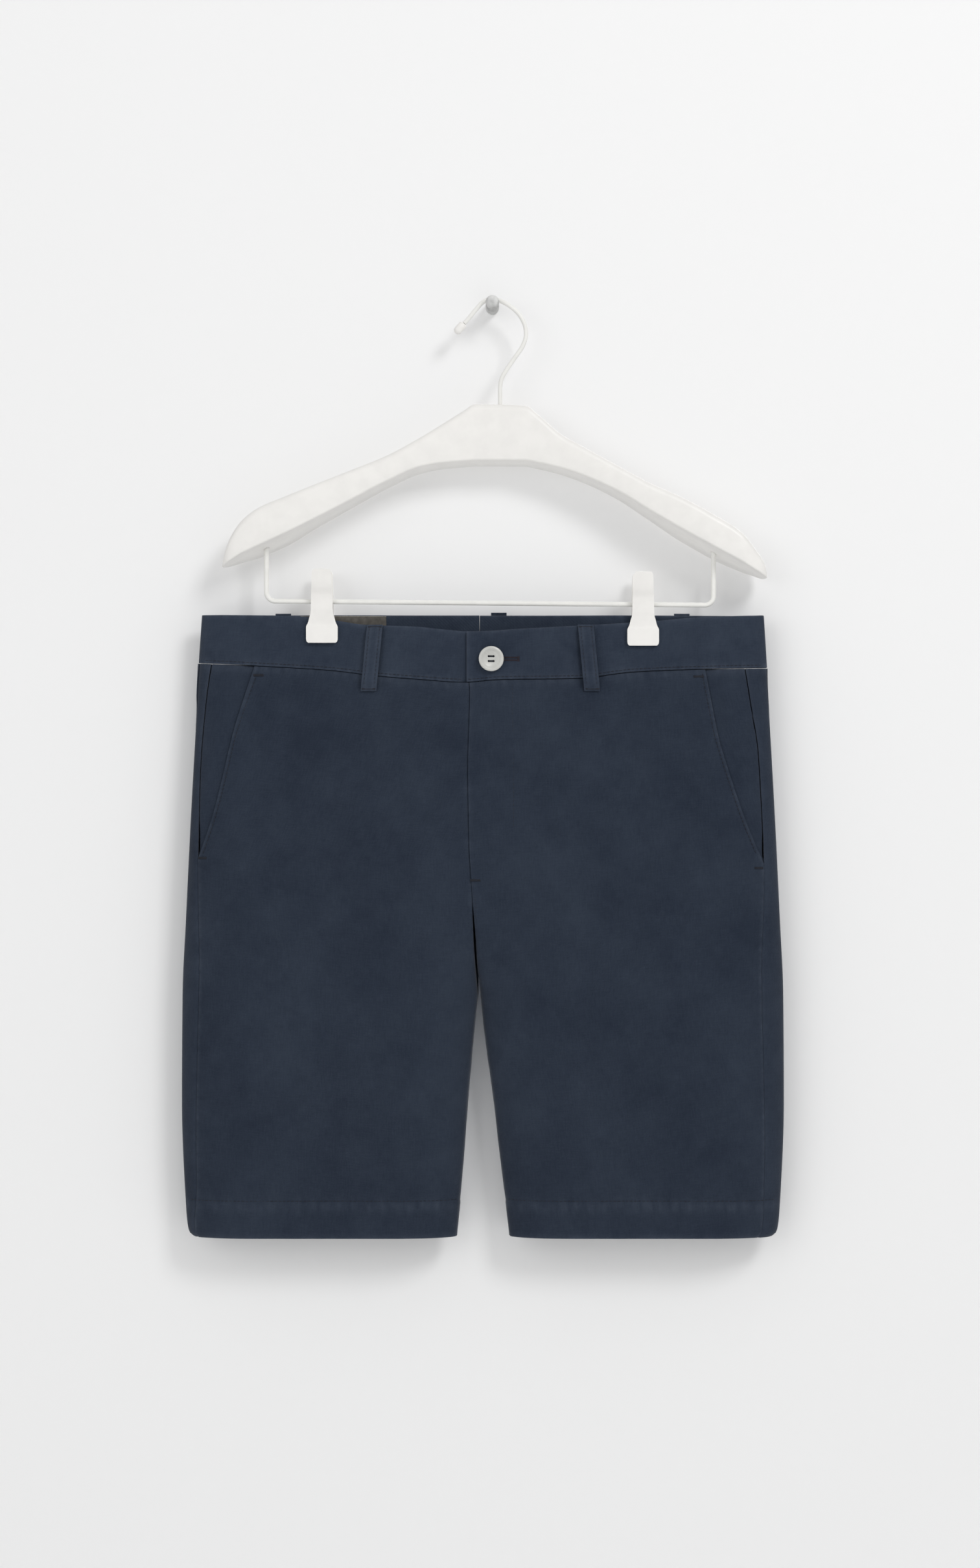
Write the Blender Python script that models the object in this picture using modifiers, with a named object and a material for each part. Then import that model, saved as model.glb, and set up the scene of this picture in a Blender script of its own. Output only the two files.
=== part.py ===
"""Bermuda shorts, clipped flat to a trouser hanger whose hook hangs on a wall peg.

The origin is the middle of the peg's flat back, on the wall. +X is to the right as the
front is seen, +Y goes into the wall and +Z is up. Sizes and tables are in millimetres
from the datum, the middle of the waist's top edge in the hanging plane, and "drop" is the
distance below it. Right and left in names are the wearer's: right is on the -X side.
"""

import math

import bmesh
import bpy
import numpy as np
from mathutils import Matrix

MM = 0.001
DATUM = (-7.8, -22.0, -247.0)

# Cloth and seams
PANEL_WALL = 1.2
BAND_WALL = 2.0
LABEL_WALL = 0.7
GAP = 0.3
LAYER_GAP = 0.5
EDGE_TURN = 0.6
BAND_PROUD = 0.4
HEM_DEPTH = 29.5
HEM_BOTTOM = 490.5
CROTCH = 300.5
NECK_RISE = 80.0

# The clips press the cloth at these places.
CLIP_X = 126.8
CLIP_REACH = 14.0
CLIP_BOTTOM = 24.0
PINCH_FRONT = 1.6
PINCH_BACK = 2.4

# Drop, half width of the shorts laid flat
OUTLINE = ((0, 221.8), (35, 224.0), (76, 226.4), (158, 231.0), (240, 235.0),
           (300, 237.7), (384, 238.2), (466, 235.0), (487, 233.0), (493, 230.5))
OUTLINE_CENTRE = 0.3

# Drop, depth before the hanging plane, depth behind it, width of the rolled side
DEPTHS = ((0, 10.5, 8.5, 26), (45, 12.5, 9.5, 34), (100, 16.0, 12.0, 46),
          (200, 19.0, 14.0, 56), (300, 19.5, 14.5, 58), (493, 17.5, 14.0, 50))
INNER_ROLL = 48.0

# Drop, X of the fly's edge and of the seam below it
FRONT_EDGE = ((0, -13.0), (16, -13.0), (53, -10.0), (120, -11.5), (180, -10.6),
              (209, -9.0), (248, -6.6), (273, -5.1), (300.5, -2.4))
BACK_EDGE_X = -2.4

# Drop, X of the right leg's inner edge, X of the left leg's
INNER_EDGES = ((300.5, -2.4, -2.4), (322.6, -4.9, -0.3), (343, -6.9, 2.3),
               (384, -10.5, 7.9), (425, -13.6, 12.6), (466, -17.2, 17.7), (493, -19.7, 20.9))

# X, drop of the front's top edge and of its waist seam
FRONT_TOP = ((-224, 0.0), (-156, 0.2), (-115, 4.3), (-94, 7.4), (-52, 9.4), (-33, 11.4),
             (-13, 12.9), (6, 12.5), (26, 11.1), (57, 9.3), (87, 7.5), (111, 5.9),
             (140, 4.0), (171, 1.4), (224, 0.0))
BACK_TOP = ((-224, 0.0), (0, -0.6), (224, 0.0))
FRONT_SEAM = ((-224, 38.0), (-182, 39.9), (-121, 43.5), (-82, 48.2), (-52, 50.8),
              (-13, 53.3), (12, 51.4), (74, 50.2), (118, 45.0), (154, 43.3), (224, 41.8))
BACK_SEAM = ((-224, 38.0), (0, 42.0), (224, 41.8))

# Drop, how far the side seam lies inside the right edge and inside the left edge
SIDE_SEAM = ((40, 10.9, 18.3), (72, 7.5, 14.9), (111, 6.0, 11.0), (170, 7.4, 11.0),
             (220, 10.0, 13.0), (292, 14.3, 18.5), (350, 13.5, 17.8), (448, 10.7, 15.0),
             (493, 5.0, 13.4))

# Drop, X of the pocket's mouth on the right and on the left, from the centre outward
POCKET_MOUTH = ((40, 178.6, 174.6), (70, 189.0, 180.1), (95, 197.0, 184.9), (125, 204.0, 193.8),
                (155, 211.6, 203.8), (180, 219.9, 213.9), (194, 225.2, 220.3))
FACING_INSIDE = 32.0
FACING_LEAST = 2.0
FACING_SINK = 2.3
BAG_SINK = 4.2
BAG_TOP = 50.0
BAG_INNER_X = 104.0
BAG_BOTTOM = 246.0

# Soft troughs: X and drop at the top, X and drop at the bottom, half width, depth
FRONT_FOLDS = ((-132, 40, -150, 330, 30, 1.7), (133, 44, 158, 300, 28, 1.5),
               (-64, 236, -8, 306, 18, 1.6), (58, 242, 4, 308, 18, 1.5),
               (-98, 330, -118, 505, 26, 1.8), (112, 322, 130, 505, 26, 1.7))
BACK_FOLDS = ((-120, 50, -96, 360, 30, 1.8), (118, 46, 84, 340, 28, 1.6),
              (-60, 250, -8, 312, 18, 1.6), (62, 244, 4, 312, 20, 1.5),
              (-140, 340, -128, 505, 26, 1.7), (136, 350, 120, 505, 24, 1.6))

# Belt loops: X at the top, X at the bottom, front or back, top drop, bottom drop
LOOPS = {
    "belt_loop_front_right": (-84.9, -90.0, "front", 7.6, 60.2),
    "belt_loop_front_left": (81.3, 86.4, "front", 7.6, 60.2),
    "belt_loop_centre_back": (12.9, 12.9, "back", -3.0, 50.0),
    "belt_loop_back_right": (-158.0, -160.0, "back", -1.8, 50.0),
    "belt_loop_back_left": (158.0, 160.0, "back", -1.8, 50.0),
}
LOOP_WIDTH = 12.6
LOOP_WALL = 1.2
LOOP_STAND = 2.8

# Button and its hole
BUTTON_X = 6.7
BUTTON_DROP = 34.9
BUTTON_RADIUS = 10.0
BUTTON_STAND = 1.4
BUTTON_TURN = math.radians(6)
SHANK_RADIUS = 1.2
BUTTONHOLE_END = 27.5

LABEL_ENDS = (-149.3, -76.4)
LABEL_DROPS = (0.6, 32.0)

# Hanger: X, top, underside at the front, depth, how much lower the back is
ARMS = ((-205.4, 40.1, 38.4, 12, 0), (-203.6, 48.3, 39.4, 22, 0.6), (-198.5, 61.0, 42.2, 31, 2),
        (-189.5, 73.8, 47.5, 36, 4), (-176.7, 83.6, 53.4, 39, 6.2), (-156, 92.5, 62.9, 40, 6.4),
        (-130.5, 102.9, 75.6, 38, 4), (-105, 113.2, 89.0, 34, 3.2), (-74, 126.2, 105.5, 29, 3),
        (-48.5, 140.4, 116.5, 24, 3), (-30, 152.0, 119.8, 20, 3), (-13.8, 162.3, 121.2, 18, 3),
        (-6.2, 167.0, 121.8, 17, 3), (33.6, 166.0, 121.6, 17, 3), (43.8, 158.8, 119.7, 18, 3),
        (61.8, 143.1, 115.5, 21, 3), (79.7, 132.7, 109.3, 25, 3), (105.4, 118.3, 97.5, 30, 3.2),
        (131, 104.1, 81.9, 35, 4), (156.7, 92.4, 66.8, 38, 6), (182.3, 78.4, 52.7, 40, 6.4),
        (202.8, 65.4, 41.6, 40, 4.4), (215.6, 50.6, 34.2, 33, 2), (223.3, 38.3, 30.1, 22, 0.6),
        (224.6, 32.4, 29.6, 12, 0))
ARM_ROUND = 6.0

# Wire hook: X and height of its route, from inside the neck to the tip
HOOK_ROUTE = ((14, 153), (14, 160), (14, 168), (14, 180), (15, 187), (18.4, 193.6),
              (25.5, 204), (31.3, 212.4), (34.2, 220), (34.2, 226.4), (32.4, 232.6),
              (28.4, 239), (22.4, 244.4), (15.2, 248.6), (7.8, 250.8), (0.6, 248.2),
              (-5, 242.4), (-10.4, 235.8), (-14.4, 231.3))
HOOK_RADIUS = 1.7
TIP_RADIUS = 3.3
TIP_LENGTH = 11.0

# Clip bar: X of each leg, height of the level stretch there, height of the leg's end
BAR_RADIUS = 1.9
BAR_BEND = 7.0
BAR_RIGHT = (-171.0, 11.3, 64.0)
BAR_LEFT = (182.8, 8.2, 61.0)

# Clip jaw: height above the bar, half width, distance from the hanging plane
JAW = ((25.2, 6.6, 9.6), (23.6, 7.5, 9.4), (12, 8.0, 7.9), (5, 8.4, 5.5), (-1, 8.6, 4.9),
       (-6.5, 8.7, 4.6), (-10.2, 8.9, 3.8), (-19.6, 12.0, 3.2), (-20.6, 12.5, 3.1),
       (-31.2, 12.5, 3.1), (-32.8, 11.2, 3.1))
JAW_WALL = 2.6
JAW_BACK_MORE = 0.8
PIVOT_RADIUS = 4.4
PIVOT_LENGTH = 13.0

# Wall peg: distance from the wall, radius
PEG = ((0, 5.4), (15.5, 5.4), (17.5, 4.9), (19.5, 2.6), (20.9, 1.8), (23.1, 1.8),
       (24.5, 2.6), (26.5, 4.9), (27.6, 5.4), (30.6, 5.4), (32.6, 4.7), (33.8, 3.0), (34.2, 0))

COLORS = {
    "navy_cloth": ((0.022, 0.031, 0.050), 0.92, 0.0),
    "label_cloth": ((0.085, 0.080, 0.075), 0.9, 0.0),
    "white_plastic": ((0.88, 0.87, 0.84), 0.42, 0.0),
    "coated_wire": ((0.86, 0.86, 0.83), 0.38, 0.0),
    "pearl_button": ((0.60, 0.60, 0.58), 0.3, 0.0),
    "navy_thread": ((0.012, 0.012, 0.020), 0.85, 0.0),
    "peg_stone": ((0.62, 0.62, 0.61), 0.6, 0.0),
}


def read(table, at, column=1):
    """The table's column at a value of its first column, on straight lines between rows."""
    rows = np.array(table, float)
    return np.interp(at, rows[:, 0], rows[:, column])


def ease(share):
    share = min(max(share, 0.0), 1.0)
    return share * share * (3 - 2 * share)


def neck(drop):
    """1 where left and right are one sheet, falling to 0 at the crotch."""
    return math.sin(0.5 * math.pi * min(max((CROTCH - drop) / NECK_RISE, 0.0), 1.0))


def pinch(x, drop):
    """1 where a clip presses the cloth, fading around it."""
    beside = abs(x) - CLIP_X
    spread = 70.0 if beside > 0 else 45.0
    across = max(abs(beside) - CLIP_REACH, 0.0) / spread
    below = max(drop - CLIP_BOTTOM, 0.0) / 75.0
    return math.exp(-across * across - below * below)


def trough(folds, x, drop):
    total = 0.0
    for x_top, top, x_bottom, bottom, half, depth in folds:
        along = (drop - top) / (bottom - top)
        if 0 < along < 1:
            off = (x - x_top - (x_bottom - x_top) * along) / half
            total += depth * math.sin(math.pi * along) ** 2 * math.exp(-off * off)
    return total


def depth_at(x, drop, front):
    """How far the cloth stands off the hanging plane, away from its edges."""
    full = read(DEPTHS, drop, 1 if front else 2)
    pressed = PINCH_FRONT if front else PINCH_BACK
    folds = FRONT_FOLDS if front else BACK_FOLDS
    return pressed + (full - pressed) * (1 - pinch(x, drop)) - trough(folds, x, drop)


def outer_x(side, drop):
    return OUTLINE_CENTRE + side * read(OUTLINE, drop)


def inner_x(side, drop, front):
    if drop > CROTCH:
        edge = read(INNER_EDGES, drop, 1 if side < 0 else 2)
    else:
        edge = read(FRONT_EDGE, drop) if front else BACK_EDGE_X
    return edge + side * 0.5 * GAP


def leg_point(side, turn, drop):
    """A point of one leg's outer face. turn runs 0 to 3 over the front, from the middle to
    the side fold, and 3 to 6 over the back; the end thirds of each are its rolled edges."""
    front = turn <= 3
    turn = turn if front else 6 - turn
    inner = inner_x(side, drop, front)
    outer = outer_x(side, drop)
    side_roll = read(DEPTHS, drop, 3)
    if turn < 1:
        across = INNER_ROLL * (1 - math.cos(0.5 * math.pi * turn))
    elif turn < 2:
        across = INNER_ROLL + (abs(outer - inner) - INNER_ROLL - side_roll) * (turn - 1)
    else:
        across = abs(outer - inner) - side_roll * (1 - math.cos(0.5 * math.pi * (3 - turn)))
    x = inner + side * across
    rise = neck(drop)
    in_share = rise + (1 - rise) * math.sin(0.5 * math.pi * min(turn, 1.0))
    out_share = math.sin(0.5 * math.pi * min(3 - turn, 1.0))
    lip = EDGE_TURN if turn > 0 else 0.0
    off = (0.5 * GAP + lip + depth_at(x, drop, front) * in_share) * out_share
    return (x, -off if front else off, -drop)


def sheet_point(x, drop, front=True):
    """A point of the front or back above the crotch, where it is one sheet."""
    off = 0.5 * GAP + EDGE_TURN + depth_at(x, drop, front)
    return (x, -off if front else off, -drop)


def turn_at(side, x, drop, front=True):
    """The turn at which the leg's front or back reaches this X."""
    inner = inner_x(side, drop, front)
    outer = outer_x(side, drop)
    side_roll = read(DEPTHS, drop, 3)
    from_side = abs(outer - x)
    if from_side < side_roll:
        turn = 3 - math.acos(1 - from_side / side_roll) / (0.5 * math.pi)
    else:
        flat = abs(outer - inner) - INNER_ROLL - side_roll
        turn = 1 + (abs(x - inner) - INNER_ROLL) / flat
    return turn if front else 6 - turn


def column(side):
    return 1 if side < 0 else 2


def seam_x(side, drop):
    return outer_x(side, drop) - side * read(SIDE_SEAM, drop, column(side))


def mouth_x(side, drop):
    """X of the front panel's outer edge: the pocket's mouth, then the side seam."""
    if drop > POCKET_MOUTH[-1][0]:
        return seam_x(side, drop)
    mouth = OUTLINE_CENTRE + side * read(POCKET_MOUTH, drop, column(side))
    seam = seam_x(side, drop)
    return min(mouth, seam, key=abs)


def fit_to_waist(x, drop, front, first=45.0, last=100.0):
    """Bends the rows near the waist so that the one at drop 45 lies on the waist seam."""
    if drop >= last:
        return drop
    seam = read(FRONT_SEAM if front else BACK_SEAM, x) + GAP
    return seam + (drop - first) * (last - seam) / (last - first)


def fitted(side, turn, drop):
    x = leg_point(side, turn, drop)[0]
    return leg_point(side, turn, fit_to_waist(x, drop, turn <= 3))


def moved_out(grid, distance):
    """The grid's points moved along its normals, which point away from the wearer. The
    distance is one number, or one for each point."""
    grid = np.array(grid, float)
    normals = np.cross(np.gradient(grid, axis=0), np.gradient(grid, axis=1))
    normals /= np.linalg.norm(normals, axis=2, keepdims=True)
    return grid + normals * (np.ones(grid.shape[:2]) * distance)[..., None]


def material(name):
    found = bpy.data.materials.get(name)
    if found:
        return found
    color, roughness, metallic = COLORS[name]
    made = bpy.data.materials.new(name)
    made.use_nodes = True
    shader = made.node_tree.nodes["Principled BSDF"]
    shader.inputs["Base Color"].default_value = (*color, 1)
    shader.inputs["Roughness"].default_value = roughness
    shader.inputs["Metallic"].default_value = metallic
    return made


def to_world(point):
    return [(point[axis] + DATUM[axis]) * MM for axis in range(3)]


def add_object(name, mesh, surface, home):
    obj = bpy.data.objects.new(name, mesh)
    home.objects.link(obj)
    mesh.materials.clear()
    mesh.materials.append(material(surface))
    mesh.shade_smooth()
    mesh.set_sharp_from_angle(angle=math.radians(40))
    return obj


def add_grid(name, grid, wall, surface, home):
    """A cloth sheet from rows and columns of points on its outer face."""
    grid = np.array(grid, float)
    rows, columns = grid.shape[:2]
    shape = bmesh.new()
    points = [shape.verts.new(to_world(point)) for point in grid.reshape(-1, 3)]
    for row in range(rows - 1):
        for col in range(columns - 1):
            first = row * columns + col
            corners = (first, first + columns, first + columns + 1, first + 1)
            shape.faces.new([points[corner] for corner in corners])
    mesh = bpy.data.meshes.new(name)
    shape.to_mesh(mesh)
    shape.free()
    obj = add_object(name, mesh, surface, home)
    solid = obj.modifiers.new("Wall", "SOLIDIFY")
    solid.thickness = abs(wall) * MM
    solid.offset = -1 if wall > 0 else 1
    solid.use_even_offset = True
    return obj


def facing_out(grid, side):
    """Orders the columns so that the grid's faces look away from the wearer."""
    return [row[::-1] for row in grid] if side < 0 else grid


def turned(name, profile, surface, home, segments=24):
    """A solid turned about its own Z, from (radius, height) pairs running down its outside."""
    mesh = bpy.data.meshes.new(name)
    points = [(radius * MM, 0, height * MM) for radius, height in profile]
    mesh.from_pydata(points, [(i, i + 1) for i in range(len(points) - 1)], [])
    obj = add_object(name, mesh, surface, home)
    screw = obj.modifiers.new("Turn", "SCREW")
    screw.steps = segments
    screw.render_steps = segments
    screw.use_merge_vertices = True
    screw.merge_threshold = 0.00001
    return obj


def wire(name, route, radius, surface, home):
    """A round wire along points, with flat ends, as a mesh."""
    curve = bpy.data.curves.new(name, "CURVE")
    curve.dimensions = "3D"
    curve.bevel_depth = radius * MM
    curve.bevel_resolution = 2
    curve.use_fill_caps = True
    spline = curve.splines.new("POLY")
    spline.points.add(len(route) - 1)
    for point, place in zip(spline.points, route):
        point.co = (*to_world(place), 1)
    obj = bpy.data.objects.new(name, curve)
    home.objects.link(obj)
    curve.materials.append(material(surface))
    return obj


def smooth_route(points, steps=2):
    """Points along a smooth curve through the given ones."""
    points = np.array(points, float)
    padded = np.vstack([2 * points[0] - points[1], points, 2 * points[-1] - points[-2]])
    route = []
    for before, start, end, after in zip(padded, padded[1:], padded[2:], padded[3:]):
        for step in range(steps):
            t = step / steps
            route.append(0.5 * (2 * start + (end - before) * t
                                + (2 * before - 5 * start + 4 * end - after) * t ** 2
                                + (3 * start - before - 3 * end + after) * t ** 3))
    route.append(points[-1])
    return route


def cutter(name, mesh, home):
    obj = bpy.data.objects.new(name, mesh)
    home.objects.link(obj)
    obj.hide_render = True
    obj.display_type = "WIRE"
    return obj


def rod_cutter(name, radius, start, end, home, segments=16):
    """A cylinder between two places, for cutting a round hole."""
    start, end = np.array(to_world(start)), np.array(to_world(end))
    shape = bmesh.new()
    length = float(np.linalg.norm(end - start))
    bmesh.ops.create_cone(shape, cap_ends=True, segments=segments, radius1=radius * MM,
                          radius2=radius * MM, depth=length)
    if abs(end[2] - start[2]) < 0.5 * length:
        bmesh.ops.rotate(shape, verts=shape.verts,
                         matrix=Matrix.Rotation(0.5 * math.pi, 3, "X"))
    bmesh.ops.translate(shape, verts=shape.verts, vec=list(0.5 * (start + end)))
    mesh = bpy.data.meshes.new(name)
    shape.to_mesh(mesh)
    shape.free()
    return cutter(name, mesh, home)


def box_cutter(name, low, high, home):
    low, high = np.array(to_world(low)), np.array(to_world(high))
    shape = bmesh.new()
    bmesh.ops.create_cube(shape, size=1)
    bmesh.ops.scale(shape, verts=shape.verts, vec=list(high - low))
    bmesh.ops.translate(shape, verts=shape.verts, vec=list(0.5 * (low + high)))
    mesh = bpy.data.meshes.new(name)
    shape.to_mesh(mesh)
    shape.free()
    return cutter(name, mesh, home)


def cut(obj, tool):
    boolean = obj.modifiers.new(tool.name, "BOOLEAN")
    boolean.operation = "DIFFERENCE"
    boolean.object = tool


ROWS = (45, 62, 80, 100, 120, 140, 158, 176, 194, 215, 240, 262, 280, 292, CROTCH, 310,
        326, 348, 385, 425, HEM_BOTTOM - HEM_DEPTH, HEM_BOTTOM)


def leg_turns(side, drop):
    """The turns of the front panel's columns and of the back panel's at one drop."""
    edge = turn_at(side, mouth_x(side, drop), drop)
    seam = turn_at(side, seam_x(side, drop) + side * LAYER_GAP, drop)
    front = [0, 0.0001, 0.17, 0.34, 0.6, 1]
    front += [1 + (edge - 1) * share for share in (0.17, 0.34, 0.5, 0.67, 0.84, 1)]
    back = [seam, (seam + 3) / 2, 3, 3.14, 3.32, 3.54, 3.76, 4, 4.25, 4.5, 4.75, 5,
            5.4, 5.66, 5.83, 5.9999, 6]
    return front, back


def add_legs(home):
    """Front and back panels. The back wraps round the side fold to the side seam."""
    for side, word in ((-1, "right"), (1, "left")):
        front, back = [], []
        for drop in ROWS:
            front_turns, back_turns = leg_turns(side, drop)
            front.append([fitted(side, turn, drop) for turn in front_turns])
            back.append([fitted(side, turn, drop) for turn in back_turns])
        add_grid(f"front_panel_{word}", facing_out(front, side), PANEL_WALL, "navy_cloth", home)
        add_grid(f"back_panel_{word}", facing_out(back, side), PANEL_WALL, "navy_cloth", home)


def add_hems(home):
    """The turned-up hem inside each leg, on the panels' own columns."""
    for side, word in ((-1, "right"), (1, "left")):
        grid = []
        for drop in (HEM_BOTTOM - HEM_DEPTH, HEM_BOTTOM):
            front_turns, back_turns = leg_turns(side, drop)
            turns = front_turns[1:] + back_turns[1:-1]
            grid.append([leg_point(side, turn, drop) for turn in turns])
        grid = moved_out(facing_out(grid, side), -(PANEL_WALL + LAYER_GAP))
        add_grid(f"hem_turn_up_{word}", grid, PANEL_WALL, "navy_cloth", home)


def add_pockets(home):
    """The facing that shows beyond each slanted mouth, and the bag behind it."""
    for side, word in ((-1, "right"), (1, "left")):
        facing = []
        for drop in ROWS[:9] + (205,):
            mouth = abs(mouth_x(side, drop))
            end = max(abs(seam_x(side, drop)) - LAYER_GAP, mouth + FACING_LEAST)
            xs = np.linspace(mouth - FACING_INSIDE, end, 8)
            facing.append([fitted(side, turn_at(side, side * x, drop), drop) for x in xs])
        grid = moved_out(facing_out(facing, side), -FACING_SINK)
        add_grid(f"pocket_facing_{word}", grid, PANEL_WALL, "navy_cloth", home)

        bag = []
        for share in np.linspace(0, 1, 8):
            drop = BAG_TOP + (BAG_BOTTOM - BAG_TOP) * share
            corner = 30 * (1 - math.sqrt(1 - max(share * 5 - 4, 0) ** 2))
            last = abs(mouth_x(side, min(drop, 190))) - 6 - corner
            xs = np.linspace(BAG_INNER_X + corner, last, 7)
            bag.append([fitted(side, turn_at(side, side * x, drop), drop) for x in xs])
        grid = moved_out(facing_out(bag, side), -BAG_SINK)
        add_grid(f"pocket_bag_{word}", grid, PANEL_WALL, "navy_cloth", home)


def add_fly_shield(home):
    """The strip behind the fly's edge, which closes the gap between the fronts."""
    grid = []
    for drop in (45, 75, 110, 150, 180, 204):
        edge = read(FRONT_EDGE, drop)
        reach = 34 - 16 * ease((drop - 150) / 60)
        row = []
        for x in np.linspace(edge - 9, edge + reach, 5):
            row.append(sheet_point(x, fit_to_waist(x, drop, True)))
        grid.append(row)
    grid = moved_out(grid, -(PANEL_WALL + LAYER_GAP))
    add_grid("fly_shield", grid, PANEL_WALL, "navy_cloth", home)


def band_turns(side):
    """Columns at the clip's edges and between them, on both faces, and round the side."""
    places = (50, 76, 95, CLIP_X - CLIP_REACH, CLIP_X, CLIP_X + CLIP_REACH, 160, 180)
    front = [turn_at(side, side * place, 20) for place in places]
    back = [turn_at(side, side * place, 20, False) for place in places[::-1]]
    return front + [2.2, 2.5, 2.76, 2.92, 3, 3.08, 3.24, 3.5, 3.8] + back + [5.9999]


def band_row(side, share, lap_xs, turns):
    """One row of a waistband half: points of the lap first, then round the leg."""
    places = [(x, True, None) for x in lap_xs]
    for turn in turns:
        places.append((leg_point(side, turn, 20)[0], turn <= 3, turn))
    row = []
    for x, front, turn in places:
        top = read(FRONT_TOP if front else BACK_TOP, x)
        seam = read(FRONT_SEAM if front else BACK_SEAM, x) - GAP
        drop = top + (seam - top) * share
        row.append(sheet_point(x, drop) if turn is None else leg_point(side, turn, drop))
    return row


def add_waistbands(home, tools):
    """Each half runs from the centre front, round its side, to the centre back."""
    shares = (0, 0.5, 1)
    edge = read(FRONT_EDGE, 20)

    lap_xs = (edge + 40, edge + 18, edge - 1, edge - 9, edge - 24)
    lap_sinks = (-2.7, -2.7, -2.7, 0, 0)
    turns = band_turns(-1)
    right = [band_row(-1, share, lap_xs, turns) for share in shares]
    sinks = [sink + BAND_PROUD for sink in lap_sinks] + [BAND_PROUD] * len(turns)
    grid = moved_out(facing_out(right, -1), np.array([sinks[::-1]] * len(shares)))
    add_grid("waistband_right", grid, BAND_WALL, "navy_cloth", home)

    lap_xs = (edge + 0.5 * GAP, edge + 9, edge + 20, edge + 34)
    left = [band_row(1, share, lap_xs, band_turns(1)) for share in shares]
    sinks = np.full(np.shape(left)[:2], BAND_PROUD)
    band = add_grid("waistband_left", moved_out(left, sinks), BAND_WALL, "navy_cloth", home)
    low = (BUTTON_X, -30, -BUTTON_DROP - 0.6)
    high = (BUTTONHOLE_END, -8, -BUTTON_DROP + 0.6)
    cut(band, box_cutter("buttonhole_slot", low, high, tools))
    eye = rod_cutter("buttonhole_eye", 1.8, (BUTTON_X, -30, -BUTTON_DROP),
                     (BUTTON_X, -8, -BUTTON_DROP), tools, 12)
    cut(band, eye)


def add_loops(home):
    """Belt loops: straps held at both ends, standing off the waistband between them."""
    shares = (0, 0.08, 0.2, 0.5, 0.8, 0.92, 1)
    stands = (0, 0, 0.8, 1, 0.8, 0, 0)
    for name, (x_top, x_bottom, face, top, bottom) in LOOPS.items():
        grid = []
        for share in shares:
            x = x_top + (x_bottom - x_top) * share
            drop = top + (bottom - top) * share
            ends = (x - LOOP_WIDTH / 2, x, x + LOOP_WIDTH / 2)
            row = [sheet_point(place, max(drop, 0), face == "front") for place in ends]
            row = [(px, py, -drop) for px, py, pz in row]
            grid.append(row if face == "front" else row[::-1])
        seat = BAND_PROUD + LAYER_GAP
        outs = np.array([[seat + LOOP_STAND * stand] * 3 for stand in stands])
        add_grid(name, moved_out(grid, outs), -LOOP_WALL, "navy_cloth", home)


def add_label(home):
    """A plain cloth label on the inside of the back waistband."""
    grid = []
    for drop in np.linspace(*LABEL_DROPS, 4):
        xs = np.linspace(*LABEL_ENDS, 7)
        grid.append([sheet_point(x, drop, False) for x in xs[::-1]])
    grid = moved_out(grid, BAND_PROUD - BAND_WALL - LAYER_GAP)
    add_grid("label", grid, LABEL_WALL, "label_cloth", home)


def add_button(home, tools):
    """A four-hole button with a rim and a dish, and the thread shank behind it."""
    face = sheet_point(BUTTON_X, BUTTON_DROP)[1] - BAND_PROUD
    back = face - BUTTON_STAND
    rim = BUTTON_RADIUS
    profile = ((0, 1.7), (5.4, 1.7), (6.6, 2.9), (8.4, 3.3), (9.6, 2.7), (rim, 1.6),
               (9.4, 0.4), (8.0, 0), (0, 0))
    button = turned("button", profile, "pearl_button", home, 32)
    button.rotation_euler = (0.5 * math.pi, 0, BUTTON_TURN)
    button.location = to_world((BUTTON_X, back, -BUTTON_DROP))
    for across in (-1.9, 1.9):
        for up in (-1.9, 1.9):
            x, z = BUTTON_X + across, up - BUTTON_DROP
            name = f"button_hole_{'l' if across < 0 else 'r'}{'d' if up < 0 else 'u'}"
            cut(button, rod_cutter(name, 0.9, (x, back - 9, z), (x, back + 6, z), tools, 8))

    inner = face + BAND_WALL + 0.7
    length = inner - GAP - (back + GAP)
    shank = turned("button_thread", ((0, length), (SHANK_RADIUS, length), (SHANK_RADIUS, 0),
                                     (0, 0)), "navy_thread", home, 12)
    shank.rotation_euler = (0.5 * math.pi, 0, 0)
    shank.location = to_world((BUTTON_X, inner - GAP, -BUTTON_DROP))


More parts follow.
